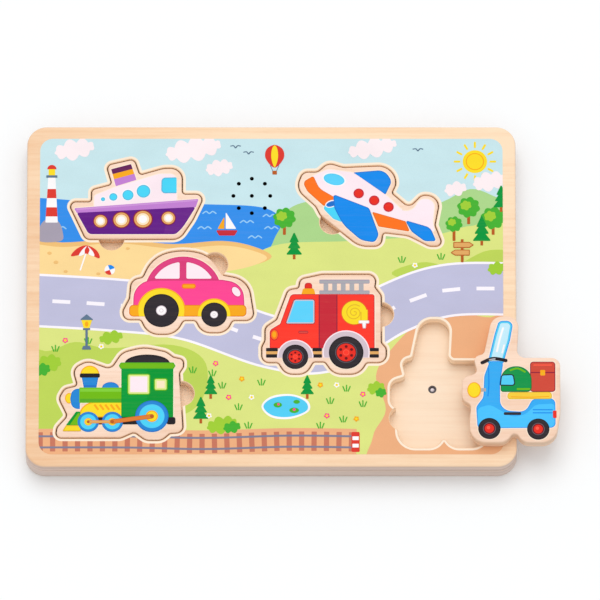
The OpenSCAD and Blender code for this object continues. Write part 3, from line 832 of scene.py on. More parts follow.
def grain_group():
    """Straight grain of a pale wood with short dark pores; cut edges are greyer and show plies. The tone
    also lightens along a given direction, as painted light.
    """
    name = "Wood grain"
    if name in bpy.data.node_groups:
        return bpy.data.node_groups[name]
    group, given, result = new_group(name, Light="Color", Dark="Color", Edge="Color", Drift="Vector")
    bands = spread(group, stretched_noise(group, BANDS, 3), 0.34, 0.66)
    streaks = spread(group, stretched_noise(group, STREAKS, 4, 0.62), 0.4, 0.7)
    pores = spread(group, stretched_noise(group, PORES, 2), 0.62, 0.74)
    plies = spread(group, stretched_noise(group, PLIES, 2), 0.4, 0.62, 0.8, 1.06)
    share = sums(group, "MULTIPLY", bands, 0.5)
    share = sums(group, "ADD", share, sums(group, "MULTIPLY", streaks, 0.42))
    share = sums(group, "ADD", share, sums(group, "MULTIPLY", pores, 0.3))
    # Painted light: the tone lightens along the given direction, standing in for brighter light there
    place = node(group, "ShaderNodeTexCoord")
    both = {0: place.outputs["Object"], 1: given.outputs["Drift"]}
    light_slope = node(group, "ShaderNodeVectorMath", both, operation="DOT_PRODUCT").outputs["Value"]
    share = spread(group, sums(group, "SUBTRACT", share, light_slope), 0.0, 1.3, 0.0, 1.3)
    colour = mixed(group, share, given.outputs["Light"], given.outputs["Dark"])
    edge = mixed(group, 1.0, given.outputs["Edge"], grey(group, plies), "MULTIPLY")
    facing = node(group, "ShaderNodeSeparateXYZ", {"Vector": place.outputs["Normal"]})
    level = node(group, "ShaderNodeMath", {0: facing.outputs["Z"]}, operation="ABSOLUTE").outputs["Value"]
    colour = mixed(group, spread(group, level, 0.2, 0.75, 0.85, 0.0), colour, edge)
    roughness = spread(group, streaks, 0.0, 1.0, 0.46, 0.58)
    height = sums(group, "SUBTRACT", sums(group, "MULTIPLY", streaks, -0.4), pores)
    put_out(group, result, colour, roughness, height)
    return group


def ink_group():
    """Ink printed on wood: the grain shows through faintly, with the fine speckle of the print."""
    name = "Ink on wood"
    if name in bpy.data.node_groups:
        return bpy.data.node_groups[name]
    group, given, result = new_group(name, Ink="Color", Wood="Color", Thinness="Float")
    streaks = spread(group, stretched_noise(group, PRINTED_STREAKS, 4, 0.62), 0.46, 0.74)
    pores = spread(group, stretched_noise(group, PORES, 2), 0.63, 0.76)
    speckle = stretched_noise(group, SPECKLE, 1)
    clouding = stretched_noise(group, CLOUDING, 2)
    through = sums(group, "MULTIPLY", streaks, given.outputs["Thinness"])
    through = sums(group, "ADD", through, sums(group, "MULTIPLY", pores, 0.05))
    colour = mixed(group, through, given.outputs["Ink"], given.outputs["Wood"])
    fine = spread(group, speckle, 0.3, 0.7, -0.03, 0.03)
    broad = spread(group, clouding, 0.3, 0.7, 0.965, 1.02)
    colour = mixed(group, 1.0, colour, grey(group, sums(group, "ADD", fine, broad)), "MULTIPLY")
    roughness = spread(group, clouding, 0.3, 0.7, 0.46, 0.58)
    height = sums(group, "ADD", sums(group, "MULTIPLY", pores, -1.0), sums(group, "MULTIPLY", speckle, 0.3))
    put_out(group, result, colour, roughness, height)
    return group


def fleck_group():
    """Two tones in fine flecks, for fibre board, moulded plastic, rolled steel and paper."""
    name = "Flecks"
    if name in bpy.data.node_groups:
        return bpy.data.node_groups[name]
    group, given, result = new_group(
        name, Base="Color", Fleck="Color", Count="Float", Amount="Float", Roughness="Float"
    )
    place = node(group, "ShaderNodeTexCoord")
    fine = node(group, "ShaderNodeTexNoise", {
        "Vector": place.outputs["Object"], "Scale": given.outputs["Count"], "Detail": 3.0,
    }).outputs["Fac"]
    broad = stretched_noise(group, MOTTLING, 2)
    share = sums(group, "MULTIPLY", spread(group, fine, 0.4, 0.68), given.outputs["Amount"])
    share = sums(group, "ADD", share, spread(group, broad, 0.35, 0.7, 0, 0.12))
    colour = mixed(group, share, given.outputs["Base"], given.outputs["Fleck"])
    roughness = sums(group, "ADD", given.outputs["Roughness"], spread(group, fine, 0.3, 0.7, -0.05, 0.08))
    put_out(group, result, colour, roughness, fine)
    return group


def new_material(name):
    """A material with its node tree and its shader."""
    material = bpy.data.materials.new(name)
    material.use_nodes = True
    tree = material.node_tree
    return material, tree, tree.nodes["Principled BSDF"]


def use_group(tree, shader, group, values, bump, depth):
    """Places a shared group in a material and links it to the shader."""
    placed = node(tree, "ShaderNodeGroup", node_tree=group)
    for key, value in values.items():
        placed.inputs[key].default_value = value
    tree.links.new(placed.outputs["Colour"], shader.inputs["Base Color"])
    tree.links.new(placed.outputs["Roughness"], shader.inputs["Roughness"])
    raised = node(tree, "ShaderNodeBump", {
        "Height": placed.outputs["Height"], "Strength": bump, "Distance": depth,
    })
    tree.links.new(raised.outputs["Normal"], shader.inputs["Normal"])


def wood(name, light, dark, edge, painted_light=(0, 0, 0)):
    """Sanded and lacquered wood, with painted light: the tone lightens per metre along each axis by the
    given amounts.
    """
    label = "finish_" + name
    if label in bpy.data.materials:
        return bpy.data.materials[label]
    material, tree, shader = new_material(label)
    values = {"Light": (*light, 1), "Dark": (*dark, 1), "Edge": (*edge, 1), "Drift": painted_light}
    use_group(tree, shader, grain_group(), values, bump=0.25, depth=0.2 * MM)
    shader.inputs["Specular IOR Level"].default_value = LACQUER_SHINE
    return material


def ink(name):
    """One printing ink, by the name of its colour."""
    label = "ink_" + name
    if label in bpy.data.materials:
        return bpy.data.materials[label]
    material, tree, shader = new_material(label)
    colour = getattr(bpy.context.scene.puzzle_inks, name)
    bare = bpy.context.scene.puzzle_wood.face_dark
    values = {"Ink": (*colour, 1), "Wood": (*bare, 1), "Thinness": INK_THINNESS}
    use_group(tree, shader, ink_group(), values, bump=0.15, depth=0.1 * MM)
    shader.inputs["Specular IOR Level"].default_value = INK_SHINE
    return material


def plain(name, base, fleck, count, amount, roughness, bump=0.1, metallic=0.0):
    """A material in flecks of two tones: how many per metre, how much they show, and how rough it is."""
    label = "finish_" + name
    if label in bpy.data.materials:
        return bpy.data.materials[label]
    material, tree, shader = new_material(label)
    values = {
        "Base": (*linear(*base), 1), "Fleck": (*linear(*fleck), 1), "Count": count, "Amount": amount,
        "Roughness": roughness,
    }
    use_group(tree, shader, fleck_group(), values, bump, depth=0.2 * MM)
    shader.inputs["Metallic"].default_value = metallic
    return material


# Print

class Sheet:
    """Collects the coats of ink of one picture and lays them on the wood, one over the other."""

    def __init__(self, name, body, slot, top, shift=(0, 0), zone=None, coats_below=0):
        self.name = name
        self.body = body
        self.slot = slot
        self.top = top
        self.shift = shift
        self.zone = zone
        self.coats_below = coats_below
        self.coats = []

    def coat(self, colour, *outlines):
        """One colour over one or more outlines that don't overlap, on top of the coats before it."""
        low = self.top - in_mm(sizes().ink_sink)
        high = self.top + in_mm(sizes().ink_step) * (self.coats_below + len(self.coats) + 1)
        label = "{}_{}_{}".format(self.name, colour, len(self.coats))
        piece = slab(label, [moved(outline, self.shift) for outline in outlines], low, high)
        if self.zone:
            cut(piece, self.zone, "INTERSECT", keep_tool=True)
        paint(piece, ink(colour))
        self.coats.append(piece)

    def edged(self, edge, colour, corners, width):
        """A form in one colour with a rim in another."""
        self.coat(edge, rounded(corners))
        self.coat(colour, rounded(grown(corners, -width)))

    def rings(self, x, y, r, **shares):
        """Discs round one middle, each in the ink of its name and with its share of the radius."""
        for colour, share in shares.items():
            self.coat(colour, ellipse(x, y, r * share))

    def arch(self, edge, colour, x, y, r, level):
        """A wheel arch with a rim: the part of a disc above a level."""
        rise = math.degrees(math.asin((level - y) / r))
        self.coat(edge, sector(x, y, r, rise, 180 - rise))
        self.coat(colour, sector(x, y, r - ARCH_RIM, rise, 180 - rise))

    def lay(self):
        """Joins the coats into one piece that rides on its body."""
        piece = self.coats[0]
        make_active(piece)
        for coat in self.coats[1:]:
            coat.select_set(True)
        if len(self.coats) > 1:
            bpy.ops.object.join()
        piece.name = self.name
        piece.data.name = self.name
        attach(piece, self.body)


class PuzzleFacePanel(bpy.types.Operator):
    """Face panel with its six pockets, finger notches, sound holes and inner rooms"""

    bl_idname = "puzzle.face_panel"
    bl_label = "Face panel"

    def execute(self, context):
        size = sizes()
        colours = context.scene.puzzle_wood
        outline = board_area(0, size.board_corner)
        panel = slab("face_panel_wood", [outline], FACE_BOTTOM, FACE_TOP)
        round_edge(panel, FACE_TOP, size.board_round, BOARD_SEGMENTS)
        round_edge(panel, FACE_BOTTOM, size.board_joint, LOWER_SEGMENTS)
        for name, vehicle in VEHICLES.items():
            cut(panel, flared_tool(name + "_pocket_tool", pocket_ring, vehicle, in_mm(size.pocket_gap)))
            cut(panel, flared_tool(name + "_notch_tool", notch_ring, vehicle, in_mm(size.finger_radius)))
        cut(panel, slab("sound_hole_tool", sound_holes(), FACE_BOTTOM - PAST, FACE_TOP + PAST))
        speaker_room = ellipse(*SPEAKER_AT, SPEAKER_ROOM, points=WIDE_POINTS)
        cut(panel, slab("speaker_room_tool", [speaker_room], FACE_BOTTOM - PAST, SPEAKER_ROOM_TOP))
        x, y = TRAY_AT
        half_w, half_d = (side / 2 for side in TRAY_ROOM)
        tray_room = box(x - half_w, y - half_d, x + half_w, y + half_d)
        cut(panel, slab("tray_room_tool", [tray_room], FACE_BOTTOM - PAST, TRAY_ROOM_TOP))
        recalculate_normals(panel)
        smooth_shading(panel)
        # Painted shade: near-black walls for the sound holes, standing in for the shade down them
        hole_shade = plain("painted_hole_shade", (26, 22, 20), (14, 12, 12), 2000, 0.6, 0.9)
        sawn = wood("face_wood", colours.face_light, colours.face_dark, colours.cut_edge, FACE_PAINTED_LIGHT)
        routed = wood("routed_wood", colours.face_light, colours.face_dark, colours.routed_edge, FACE_PAINTED_LIGHT)
        paint(panel, sawn, routed, hole_shade)
        speaker = Vector(SPEAKER_AT) * MM
        right = FACE_HIGH[0] - size.print_margin / 2
        back = FACE_HIGH[1] - size.print_margin / 2
        for face in panel.data.polygons:
            x, y, z = face.center
            tilt = abs(face.normal.z)
            over_speaker = (face.center.xy - speaker).length < (SOUND_RING + SOUND_HOLE) * MM
            # The sound holes' walls take the painted shade
            if over_speaker and tilt < STEEP and z > SPEAKER_ROOM_TOP * MM:
                face.material_index = HOLE_SHADE
            elif abs(x) < right and abs(y) < back and tilt < LEVEL:
                face.material_index = ROUTED
        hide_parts("face_panel")
        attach(panel, "board")
        return {"FINISHED"}


class PuzzlePieces(bpy.types.Operator):
    """The six wooden pieces, with rounded edges"""

    bl_idname = "puzzle.pieces"
    bl_label = "Vehicle pieces"

    def execute(self, context):
        size = sizes()
        colours = context.scene.puzzle_wood
        for name, vehicle in VEHICLES.items():
            low, high = (corner[2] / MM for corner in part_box(name + "_piece"))
            piece = slab(name + "_wood", [rounded(moved(vehicle["corners"], seat_of(name)))], low, high)
            round_edge(piece, high, size.piece_round, PIECE_SEGMENTS)
            round_edge(piece, low, size.piece_foot, LOWER_SEGMENTS)
            recalculate_normals(piece)
            smooth_shading(piece)
            paint(piece, wood("piece_wood", colours.piece_light, colours.piece_dark, colours.piece_edge))
            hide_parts(name + "_piece")
            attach(piece, name)
        return {"FINISHED"}


def print_zone(name, bare):
    """The part of the board that is printed: inside the margin, clear of pockets, notches and holes."""
    size = sizes()
    area = board_area(size.print_margin, size.print_corner)
    zone = slab(name, [area], FACE_TOP - PAST, FACE_TOP + PAST)
    holes = []
    for vehicle in VEHICLES.values():
        holes.append([pocket_ring(vehicle, in_mm(size.pocket_gap + bare))])
        holes.append([notch_ring(vehicle, in_mm(size.finger_radius + size.bare_rim))])
    holes.append(sound_holes())
    for outlines in holes:
        cut(zone, slab("rim_tool", outlines, FACE_TOP - 2 * PAST, FACE_TOP + 2 * PAST))
    return zone


def land_sheet(name, zone, coats_below):
    """The sheet for one part of the landscape, over the coats of the parts before it."""
    return Sheet(name, "board", "face_wood", FACE_TOP, zone=zone, coats_below=coats_below)


def print_ground(zone):
    """Sky, sea, hills, sand, meadow and yard."""
    sheet = land_sheet("ground_print", zone, WHITE_COATS)
    coat = sheet.coat
    coat("sky", box(-150, 20, 150, 110))
    coat("far_hill", smooth([
        (-4, 34), (4, 50), (16, 60), (34, 62), (60, 56), (100, 60), (122, 70), (140, 64), (160, 58),
        (160, 20), (-4, 20),
    ]))
    coat("sea", smooth([
        (-160, 62), (-100, 61), (-40, 60), (-6, 58), (6, 50), (3, 40), (-8, 24), (-40, 26), (-95, 26),
        (-160, 28),
    ]))
    coat("meadow", smooth([
        (-160, 20), (-100, 20), (-60, 22), (-20, 24), (6, 34), (50, 36), (100, 40), (124, 46), (160, 44),
        (160, -120), (-160, -120),
    ]))
    coat("sand_shade", smooth([
        (-160, 37), (-128, 35), (-95, 37), (-60, 34), (-30, 36), (-10, 32), (0, 25), (-20, 18),
        (-60, 14), (-100, 10), (-160, 12),
    ]))
    coat("sand", smooth([
        (-160, 34), (-128, 32), (-95, 34.5), (-60, 31), (-30, 33), (-11, 29.5), (-3, 24), (-22, 17),
        (-60, 13), (-100, 9), (-160, 11),
    ]))
    coat("soil", smooth([
        (66, -115), (62, -92), (70, -74), (64, -52), (74, -34), (92, -16), (112, -10), (134, -14),
        (160, -10), (160, -115),
    ]))
    left_shade = smooth([
        (-160, -30), (-138, -36), (-120, -30), (-100, -34), (-60, -32), (-40, -44), (-44, -70),
        (-70, -80), (-160, -84),
    ])
    right_shade = smooth([(74, 14), (92, 22), (112, 20), (134, 30), (160, 26), (160, 10), (110, 6)])
    coat("meadow_shade", left_shade, right_shade)
    sheet.lay()


def print_water(zone):
    """Waves, a small sailing boat and a lighthouse on its rock."""
    sheet = land_sheet("water_print", zone, GROUND_COATS)
    coat = sheet.coat
    wave = [(-4, 0), (-2, 1.3), (0, 0), (2, 1.3), (4, 0)]
    waves = ((-38, 54), (-15, 48), (-1, 52), (-41, 44), (-10, 38), (0, 44), (-140, 40), (-130, 44))
    coat("foam", *[stroke(moved(wave, place), 0.8) for place in waves])
    coat("maroon", soft([(-34, 43), (-20.5, 43), (-22.5, 39.5), (-32, 39.5)]))
    coat("white", soft([(-28, 43.9), (-28, 55), (-21.5, 43.9)], 0.3))
    coat("amber", soft([(-28.8, 43.9), (-33, 43.9), (-28.8, 52)], 0.3))
    coat("rock", smooth([(-142.5, 36), (-142, 45), (-138, 50), (-131, 49), (-128, 42), (-129, 36)]))
    left, right, foot, taper = -138.6, -131, 48, 0.055
    coat("white", soft([(left, foot), (-137, 78), (-132.6, 78), (right, foot)], 0.4))
    for low, high in ((52, 58), (64, 70)):
        low_in = (low - foot) * taper
        high_in = (high - foot) * taper
        coat("sign", soft([
            (left + low_in, low), (left + high_in, high), (right - high_in, high), (right - low_in, low),
        ], 0.1))
    coat("post", box(-138.2, 77.4, -131.4, 79, 0.3))
    coat("sun", box(-136.8, 79, -132.8, 83, 0.3))
    coat("sign", sector(-134.8, 83, 2.8, 0, 180, 12))
    sheet.lay()


def print_sky(zone):
    """Sun, clouds, a striped balloon and three gulls."""
    sheet = land_sheet("sky_print", zone, GROUND_COATS)
    coat = sheet.coat
    sun = (125, 88)
    ray_count = 12
    coat("sun", ellipse(*sun, 7.5))
    rays = zip(places_round(*sun, 9.6, ray_count), places_round(*sun, 12.4, ray_count))
    coat("sun", *[stroke(ray, 1.3) for ray in rays])
    coat("amber", ellipse(*sun, 5.6))
    coat("sun", ellipse(*sun, 5))
    clouds = (
        (-121, 96, 24, 8, 9), (-48, 96, 34, 9, 11), (-32, 84, 16, 7, 9), (62, 97, 30, 7, 11),
        (113, 70, 13, 6, 7), (134, 75, 20, 8, 9),
    )
    coat("cloud", *[puff(*cloud) for cloud in clouds])
    coat("sign", smooth([(2, 84), (-3.5, 90), (-3, 96), (2, 99), (7, 96), (7.5, 90)]))
    coat("sun", smooth([(2, 84.3), (0, 90), (0.3, 96), (2, 98.6), (3.7, 96), (4, 90)]))
    coat("trunk", box(0.6, 79.5, 3.4, 82, 0.4))
    coat("post", stroke([(0.8, 82), (-0.6, 85.5)], 0.35), stroke([(3.2, 82), (4.6, 85.5)], 0.35))
    gull = [(-3, 1.2), (-1.2, 1.4), (0, 0), (1.2, 1.4), (3, 1.2)]
    coat("post", *[stroke(moved(gull, place), 0.6) for place in ((-22, 97), (-14, 93), (90, 95))])
    sheet.lay()


def print_road(zone):
    """The winding road with its edge lines and dashes."""
    sheet = land_sheet("road_print", zone, GROUND_COATS)
    coat = sheet.coat
    middle = smooth_path([
        (-160, -2), (-95, -6), (-50, -12), (0, -30), (35, -32), (75, -8), (110, 4), (160, 4),
    ], 10)
    width, edge_line = 32, 1.5
    coat("road_line", ribbon(middle, width + 2 * edge_line))
    coat("road", ribbon(middle, width))
    dash, dash_line, spacing, reach = 11, 2.4, 21, 136
    places = [(place, way) for place, way in along(middle, spacing) if abs(place[0]) < reach]
    coat("road_line", *[bar_at(place, way, dash, dash_line) for place, way in places])
    sheet.lay()


def print_railway(zone):
    """Ballast, sleepers, rails and a buffer stop along the near edge."""
    sheet = land_sheet("railway_print", zone, GROUND_COATS)
    coat = sheet.coat
    middle = smooth_path([(-160, -95), (-90, -95), (-40, -96), (10, -94.5), (52, -95)], 10)
    coat("soil", ribbon(middle, 17))
    sleeper, sleeper_width, spacing = 12.5, 3.2, 7.6
    places = along(middle, spacing)
    coat("sleeper", *[bar_at(place, (-way[1], way[0]), sleeper, sleeper_width) for place, way in places])
    for side in (-3.6, 3.6):
        coat("rail", ribbon(moved(middle, (0, side)), 1.3))
    coat("sign", box(49, -101.5, 54, -88.5, 0.8))
    coat("white", box(49.6, -98.6, 53.4, -96.2, 0.2), box(49.6, -93.8, 53.4, -91.4, 0.2))
    sheet.lay()


def print_plants(zone):
    """Trees, firs, bushes, tufts of grass, flowers and a pond."""
    sheet = land_sheet("plants_print", zone, GROUND_COATS + TRACK_COATS)
    coat = sheet.coat
    trunks = []
    crowns = []
    lights = []
    for x, y, width in ((136, 44, 13), (121, 51, 12), (112, 40, 9), (8, 44, 12)):
        trunks.append(box(x - 0.9, y - 4, x + 0.9, y + 4, 0.4))
        crowns.append(puff(x, y + 7, width, width * 0.95, 8, 0.36))
        lights.append(puff(x - width * 0.14, y + 8.2, width * 0.5, width * 0.42, 6, 0.36))
    coat("trunk", *trunks)
    coat("leaf", *crowns)
    coat("bush", *lights)
    firs = []
    fir_trunks = []
    for x, y, h in (
        (129, 36, 17), (141, 58, 15), (14, 27, 15), (-43, -80, 15), (-37, -64, 13), (22, -64, 13),
    ):
        fir_trunks.append(box(x - 0.8, y - 3, x + 0.8, y + 1, 0.2))
        for share, half in ((0, 0.34), (0.27, 0.27), (0.54, 0.2)):
            firs.append((x, y + h * share, h * half, h * 0.46))
    coat("trunk", *fir_trunks)
    for step in range(3):
        tier = [soft([(x - w, y), (x, y + tall), (x + w, y)], 0.5) for x, y, w, tall in firs[step::3]]
        coat("fir", *tier)
    bushes = (
        (-136, -44, 14, 8, 8), (-30, -84, 18, 7, 9), (64, -60, 10, 6, 7), (138, 18, 10, 6, 7),
        (-98, -27, 14, 5, 8),
    )
    coat("bush", *[puff(*bush) for bush in bushes])
    coat("leaf", puff(-140, -48, 9, 6, 7), puff(-24, -85.5, 10, 5, 7), puff(67, -63, 6, 4.5, 6))
    coat("white", smooth([(-6, -72), (0, -65.5), (12, -64), (22, -68), (23, -75), (12, -80), (0, -79)]))
    coat("cyan", smooth([
        (-4.8, -72), (0.6, -66.7), (12, -65.2), (20.8, -68.8), (21.7, -74.6), (11.6, -78.7), (0.7, -77.8),
    ]))
    coat("leaf", ellipse(4, -71, 2.6, 1.7), ellipse(14, -74.5, 3, 1.8), ellipse(15.5, -69, 2, 1.3))
    coat("pink", ellipse(14, -74, 0.9), ellipse(4.4, -70.6, 0.8))
    blades = ([(-1, 0), (-2.2, 3)], [(0, 0), (0, 3.8)], [(1, 0), (2.2, 3)])
    tufts = (
        (-30, -60), (-14, -86), (36, -70), (44, -82), (-20, -74), (-36, -52), (30, -86), (56, -72),
        (-112, -31), (80, 22), (104, 24), (-132, -36), (-48, -50), (46, -62), (-6, -58),
    )
    coat("leaf", *[stroke(moved(blade, place), 0.7) for place in tufts for blade in blades])
    flowers = {
        "pink": ((-26, -66), (34, -78), (-34, -44), (-126, -29), (56, -64)),
        "white": ((-12, -66), (40, -58), (-38, -78), (88, 20), (-104, -33)),
        "amber": ((52, -80), (30, -58), (-18, -54)),
    }
    for petal, places in flowers.items():
        coat(petal, *[puff(x, y, 2.6, 2.6, 5, 0.5) for x, y in places])
    middles = [place for places in flowers.values() for place in places]
    coat("sun", *[ellipse(*place, 0.8, points=TINY_POINTS) for place in middles])
    sheet.lay()


def print_beach_and_signs(zone):
    """Parasol, ball and shells on the beach, a street lamp and a signpost."""
    sheet = land_sheet("beach_print", zone, GROUND_COATS + TRACK_COATS + PLANT_COATS)
    coat = sheet.coat
    coat("white", stroke([(-117, 17), (-113.6, 28)], 0.9))
    coat("sign", smooth([
        (-122.6, 26), (-119, 31), (-113, 33), (-107, 29.6), (-105.5, 24.6), (-113, 27.6),
    ]))
    left_panel = smooth([(-118, 26.2), (-116, 30), (-113.2, 32.6), (-114.4, 30), (-114.6, 27.3)])
    right_panel = smooth([(-112, 27.3), (-111.4, 30), (-112.6, 32.6), (-109.4, 29), (-108.6, 26)])
    coat("white", left_panel, right_panel)
    ball = (-99, 17)
    coat("white", ellipse(*ball, 3.2))
    coat("blue", sector(*ball, 3.2, 20, 110, 10) + [ball])
    coat("sign", sector(*ball, 3.2, 200, 290, 10) + [ball])
    shells = (
        (-132, 22, 1.4, 1), (-126, 16, 1.2, 0.8), (-136, 28, 1.3, 0.9), (-106, 14.5, 1.2, 0.8),
        (-88, 31, 1.2, 0.7),
    )
    coat("sand_shade", *[ellipse(*shell) for shell in shells])
    coat("post", box(-113.7, -34, -112.3, -20, 0.3))
    coat("post", soft([(-116, -35), (-115, -32.6), (-111, -32.6), (-110, -35)], 0.4))
    coat("sun", soft([(-114.6, -21.4), (-116.4, -15.4), (-109.6, -15.4), (-111.4, -21.4)], 0.4))
    coat("amber", ellipse(-113, -18.4, 1.1, 1.7))
    coat("post", soft([(-117.4, -15.8), (-113, -12), (-108.6, -15.8)], 0.4))
    coat("post", box(-115.2, -22.2, -110.8, -21, 0.4))
    coat("trunk", box(116.2, 22, 117.8, 37, 0.4))
    right_board = [(111.6, 31.4), (111.6, 35.2), (121.4, 35.2), (124.2, 33.3), (121.4, 31.4)]
    left_board = [(109.8, 28.3), (112.6, 30.2), (121.6, 30.2), (121.6, 26.4), (112.6, 26.4)]
    boards = [[(x, y, 0.4) for x, y in board] for board in (right_board, left_board)]
    coat("trunk", *[rounded(board) for board in boards])
    coat("tan", *[rounded(grown(board, -0.5)) for board in boards])
    sheet.lay()


class PuzzleLandscape(bpy.types.Operator):
    """Landscape printed on the face panel: sky, sea, meadow, road, railway and plants"""

    bl_idname = "puzzle.landscape_print"
    bl_label = "Landscape print"

    def execute(self, context):
        size = sizes()
        white_zone = print_zone("white_zone", size.bare_rim)
        white = land_sheet("white_print", white_zone, 0)
        white.coat("ground_white", box(-150, -110, 150, 110))
        white.lay()
        bpy.data.objects.remove(white_zone, do_unlink=True)
        zone = print_zone("picture_zone", size.bare_rim + size.white_rim)
        for draw in (
            print_ground, print_water, print_sky, print_road, print_railway, print_plants,
            print_beach_and_signs,
        ):
            draw(zone)
        bpy.data.objects.remove(zone, do_unlink=True)
        return {"FINISHED"}


def underprint(sheet, *shapes):
    """The white ground under a figure, which stands out a little round its edge."""
    for corners in shapes:
        sheet.coat("ground_white", rounded(grown(corners, UNDERPRINT)))


def print_vehicle(name, picture):
    """Prints a vehicle's picture on top of its piece."""
    top = LOOSE_TOP if name == LOOSE else FACE_TOP
    shift = seat_of(name) if name == LOOSE else (0, 0)
    sheet = Sheet(name + "_print", name, name + "_paint", top, shift)
    picture(sheet)
    sheet.lay()


def boat_picture(sheet):
    """A ship with a striped funnel, portholes and a row of tyres along its hull."""
    coat = sheet.coat
    cabin = [
        (-108.8, 56.5, 0.4), (-108.6, 65.8, 2.2), (-96.1, 71.2, 20), (-82.8, 75.4, 20), (-69, 80, 14),
        (-58.1, 80, 4.5), (-58.1, 60.5, 0.4),
    ]
    deck = [(-121.2, 57.4, 0.6), (-44.6, 63.5, 0.6), (-46.4, 58, 0.4), (-119.2, 54.2, 0.4)]
    hull = [
        (-119.4, 54.4, 0.8), (-46.4, 58.2, 0.8), (-54.4, 44.6, 22), (-58.7, 40.4, 3.5), (-112, 40.4, 3.5),
    ]
    funnel = [(-98.4, 83, 0.5), (-86.2, 86.4, 0.5), (-82.8, 76, 0.3), (-95.5, 71.8, 0.3)]
    underprint(sheet, cabin, deck, hull, funnel)
    coat("lilac", rounded(funnel))
    coat("amber", soft([(-97.6, 80.1), (-85.3, 83.4), (-84.2, 80), (-96.6, 76.4)], 0.2))
    coat("dark_purple", soft([(-98.4, 83), (-86.2, 86.4), (-85.2, 83.2), (-97.5, 79.8)], 0.4))
    coat("blush", rounded(cabin))
    coat("lilac", rounded(deck))
    coat("light_lilac", soft([(-119.8, 57.1), (-45.6, 63), (-45.9, 62.2), (-119.4, 56.2)], 0.3))
    coat("purple", rounded(hull))
    coat("plum", rounded([
        (-62, 57.2, 0.4), (-47.2, 57.9, 0.6), (-54.9, 44.8, 22), (-59, 41, 3), (-66, 41, 0.4),
    ]))
    for x, y, r in ((-103.3, 63.3, 1.3), (-97, 64.8, 2.5), (-88, 66, 3.4), (-78.5, 68.5, 4.2)):
        coat("white", ellipse(x, y, r + 0.5))
        coat("porthole", ellipse(x, y, r))
        coat("bright_cyan", ellipse(x, y, r - 0.6))
    rim = [(-67.6, 67.2, 2.4), (-67.4, 77.4, 2.4), (-58.2, 77.6, 0.6), (-58.2, 67.3, 0.6)]
    pane = [(-67, 67.8, 2), (-66.8, 76.8, 2), (-58.2, 77, 0.4), (-58.2, 67.9, 0.4)]
    coat("porthole", rounded(rim))
    coat("bright_cyan", rounded(pane))
    for x, y, r in ((-104.8, 48.9, 4.5), (-92, 49.7, 5.5), (-78.8, 50.2, 6.1), (-63.2, 50.9, 4.6)):
        sheet.rings(x, y, r, wine=1, tan=0.88, rod=0.7, cream=0.64, white=0.42)


def plane_picture(sheet):
    """A small jet seen from the front and the side, with three round windows."""
    coat = sheet.coat
    body = [
        (24.6, 78.2, 0.8), (34.6, 83, 9), (50.4, 80.8, 9), (70, 66.4, 30), (80.4, 56, 8), (86, 53.6, 7),
        (91, 63.4, 5), (100.4, 63.4, 5), (99, 48, 14), (100, 41.6, 1), (82.1, 48.4, 4), (62.7, 54.2, 4),
        (40, 63, 8), (28.2, 70.2, 10),
    ]
    fin = [(49.6, 80.8, 0.6), (69.6, 82.6, 7.5), (74, 75, 5), (70, 66.2, 0.8)]
    nose = [
        (19.2, 74.6, 3), (25.8, 78.7, 1.2), (29.4, 70.4, 9), (38.8, 64.6, 1), (37, 61, 1), (32.2, 58.8, 1.4),
        (22, 68.6, 6),
    ]
    wing = [
        (38, 66.6, 1.2), (60, 57.6, 3.5), (66, 40, 5), (63.4, 35, 3), (55, 36.4, 10), (44, 46.6, 22),
        (38.4, 58, 10),
    ]
    tail = [(82, 49.6, 0.8), (97.4, 44.8, 6), (101.2, 35.8, 1.2), (94, 35.8, 5), (86, 42, 8)]
    belly = [(61.6, 55.2, 0.6), (82.3, 48.9, 0.6), (85, 42, 0.8), (65.6, 45.4, 1.4)]
    engine = [(31.6, 57.4, 2), (36, 62.8, 2), (42, 61, 1), (44, 48, 1), (38, 50.4, 3)]
    underprint(sheet, body, fin, nose, wing, tail, belly, engine)
    sheet.edged("blue_shade", "blue", fin, 0.5)
    coat("blush", rounded(body))
    sheet.edged("orange_shade", "orange", belly, 0.45)
    sheet.edged("orange_shade", "orange", nose, 0.45)
    sheet.edged("cyan", "bright_cyan", engine, 0.9)
    coat("white", ellipse(36.8, 60.3, 3.9, 2.3, 20))
    coat("blue_shade", ellipse(36.8, 60.2, 3.3, 1.7, 20))
    sheet.edged("blue_shade", "blue", wing, 0.5)
    sheet.edged("blue_shade", "blue", tail, 0.5)
    coat("white", ellipse(38.6, 76.3, 7.3, 4.4, -13))
    coat("cyan", ellipse(38.5, 76.3, 6.5, 3.7, -13))
    coat("pale_cyan", ellipse(38.5, 76.3, 5.8, 3.1, -13))
    for x, y in ((53.6, 67.1), (63.1, 62.5), (71.9, 58.2)):
        coat("maroon", ellipse(x, y, 3.2))
        coat("red", ellipse(x, y, 2.4))


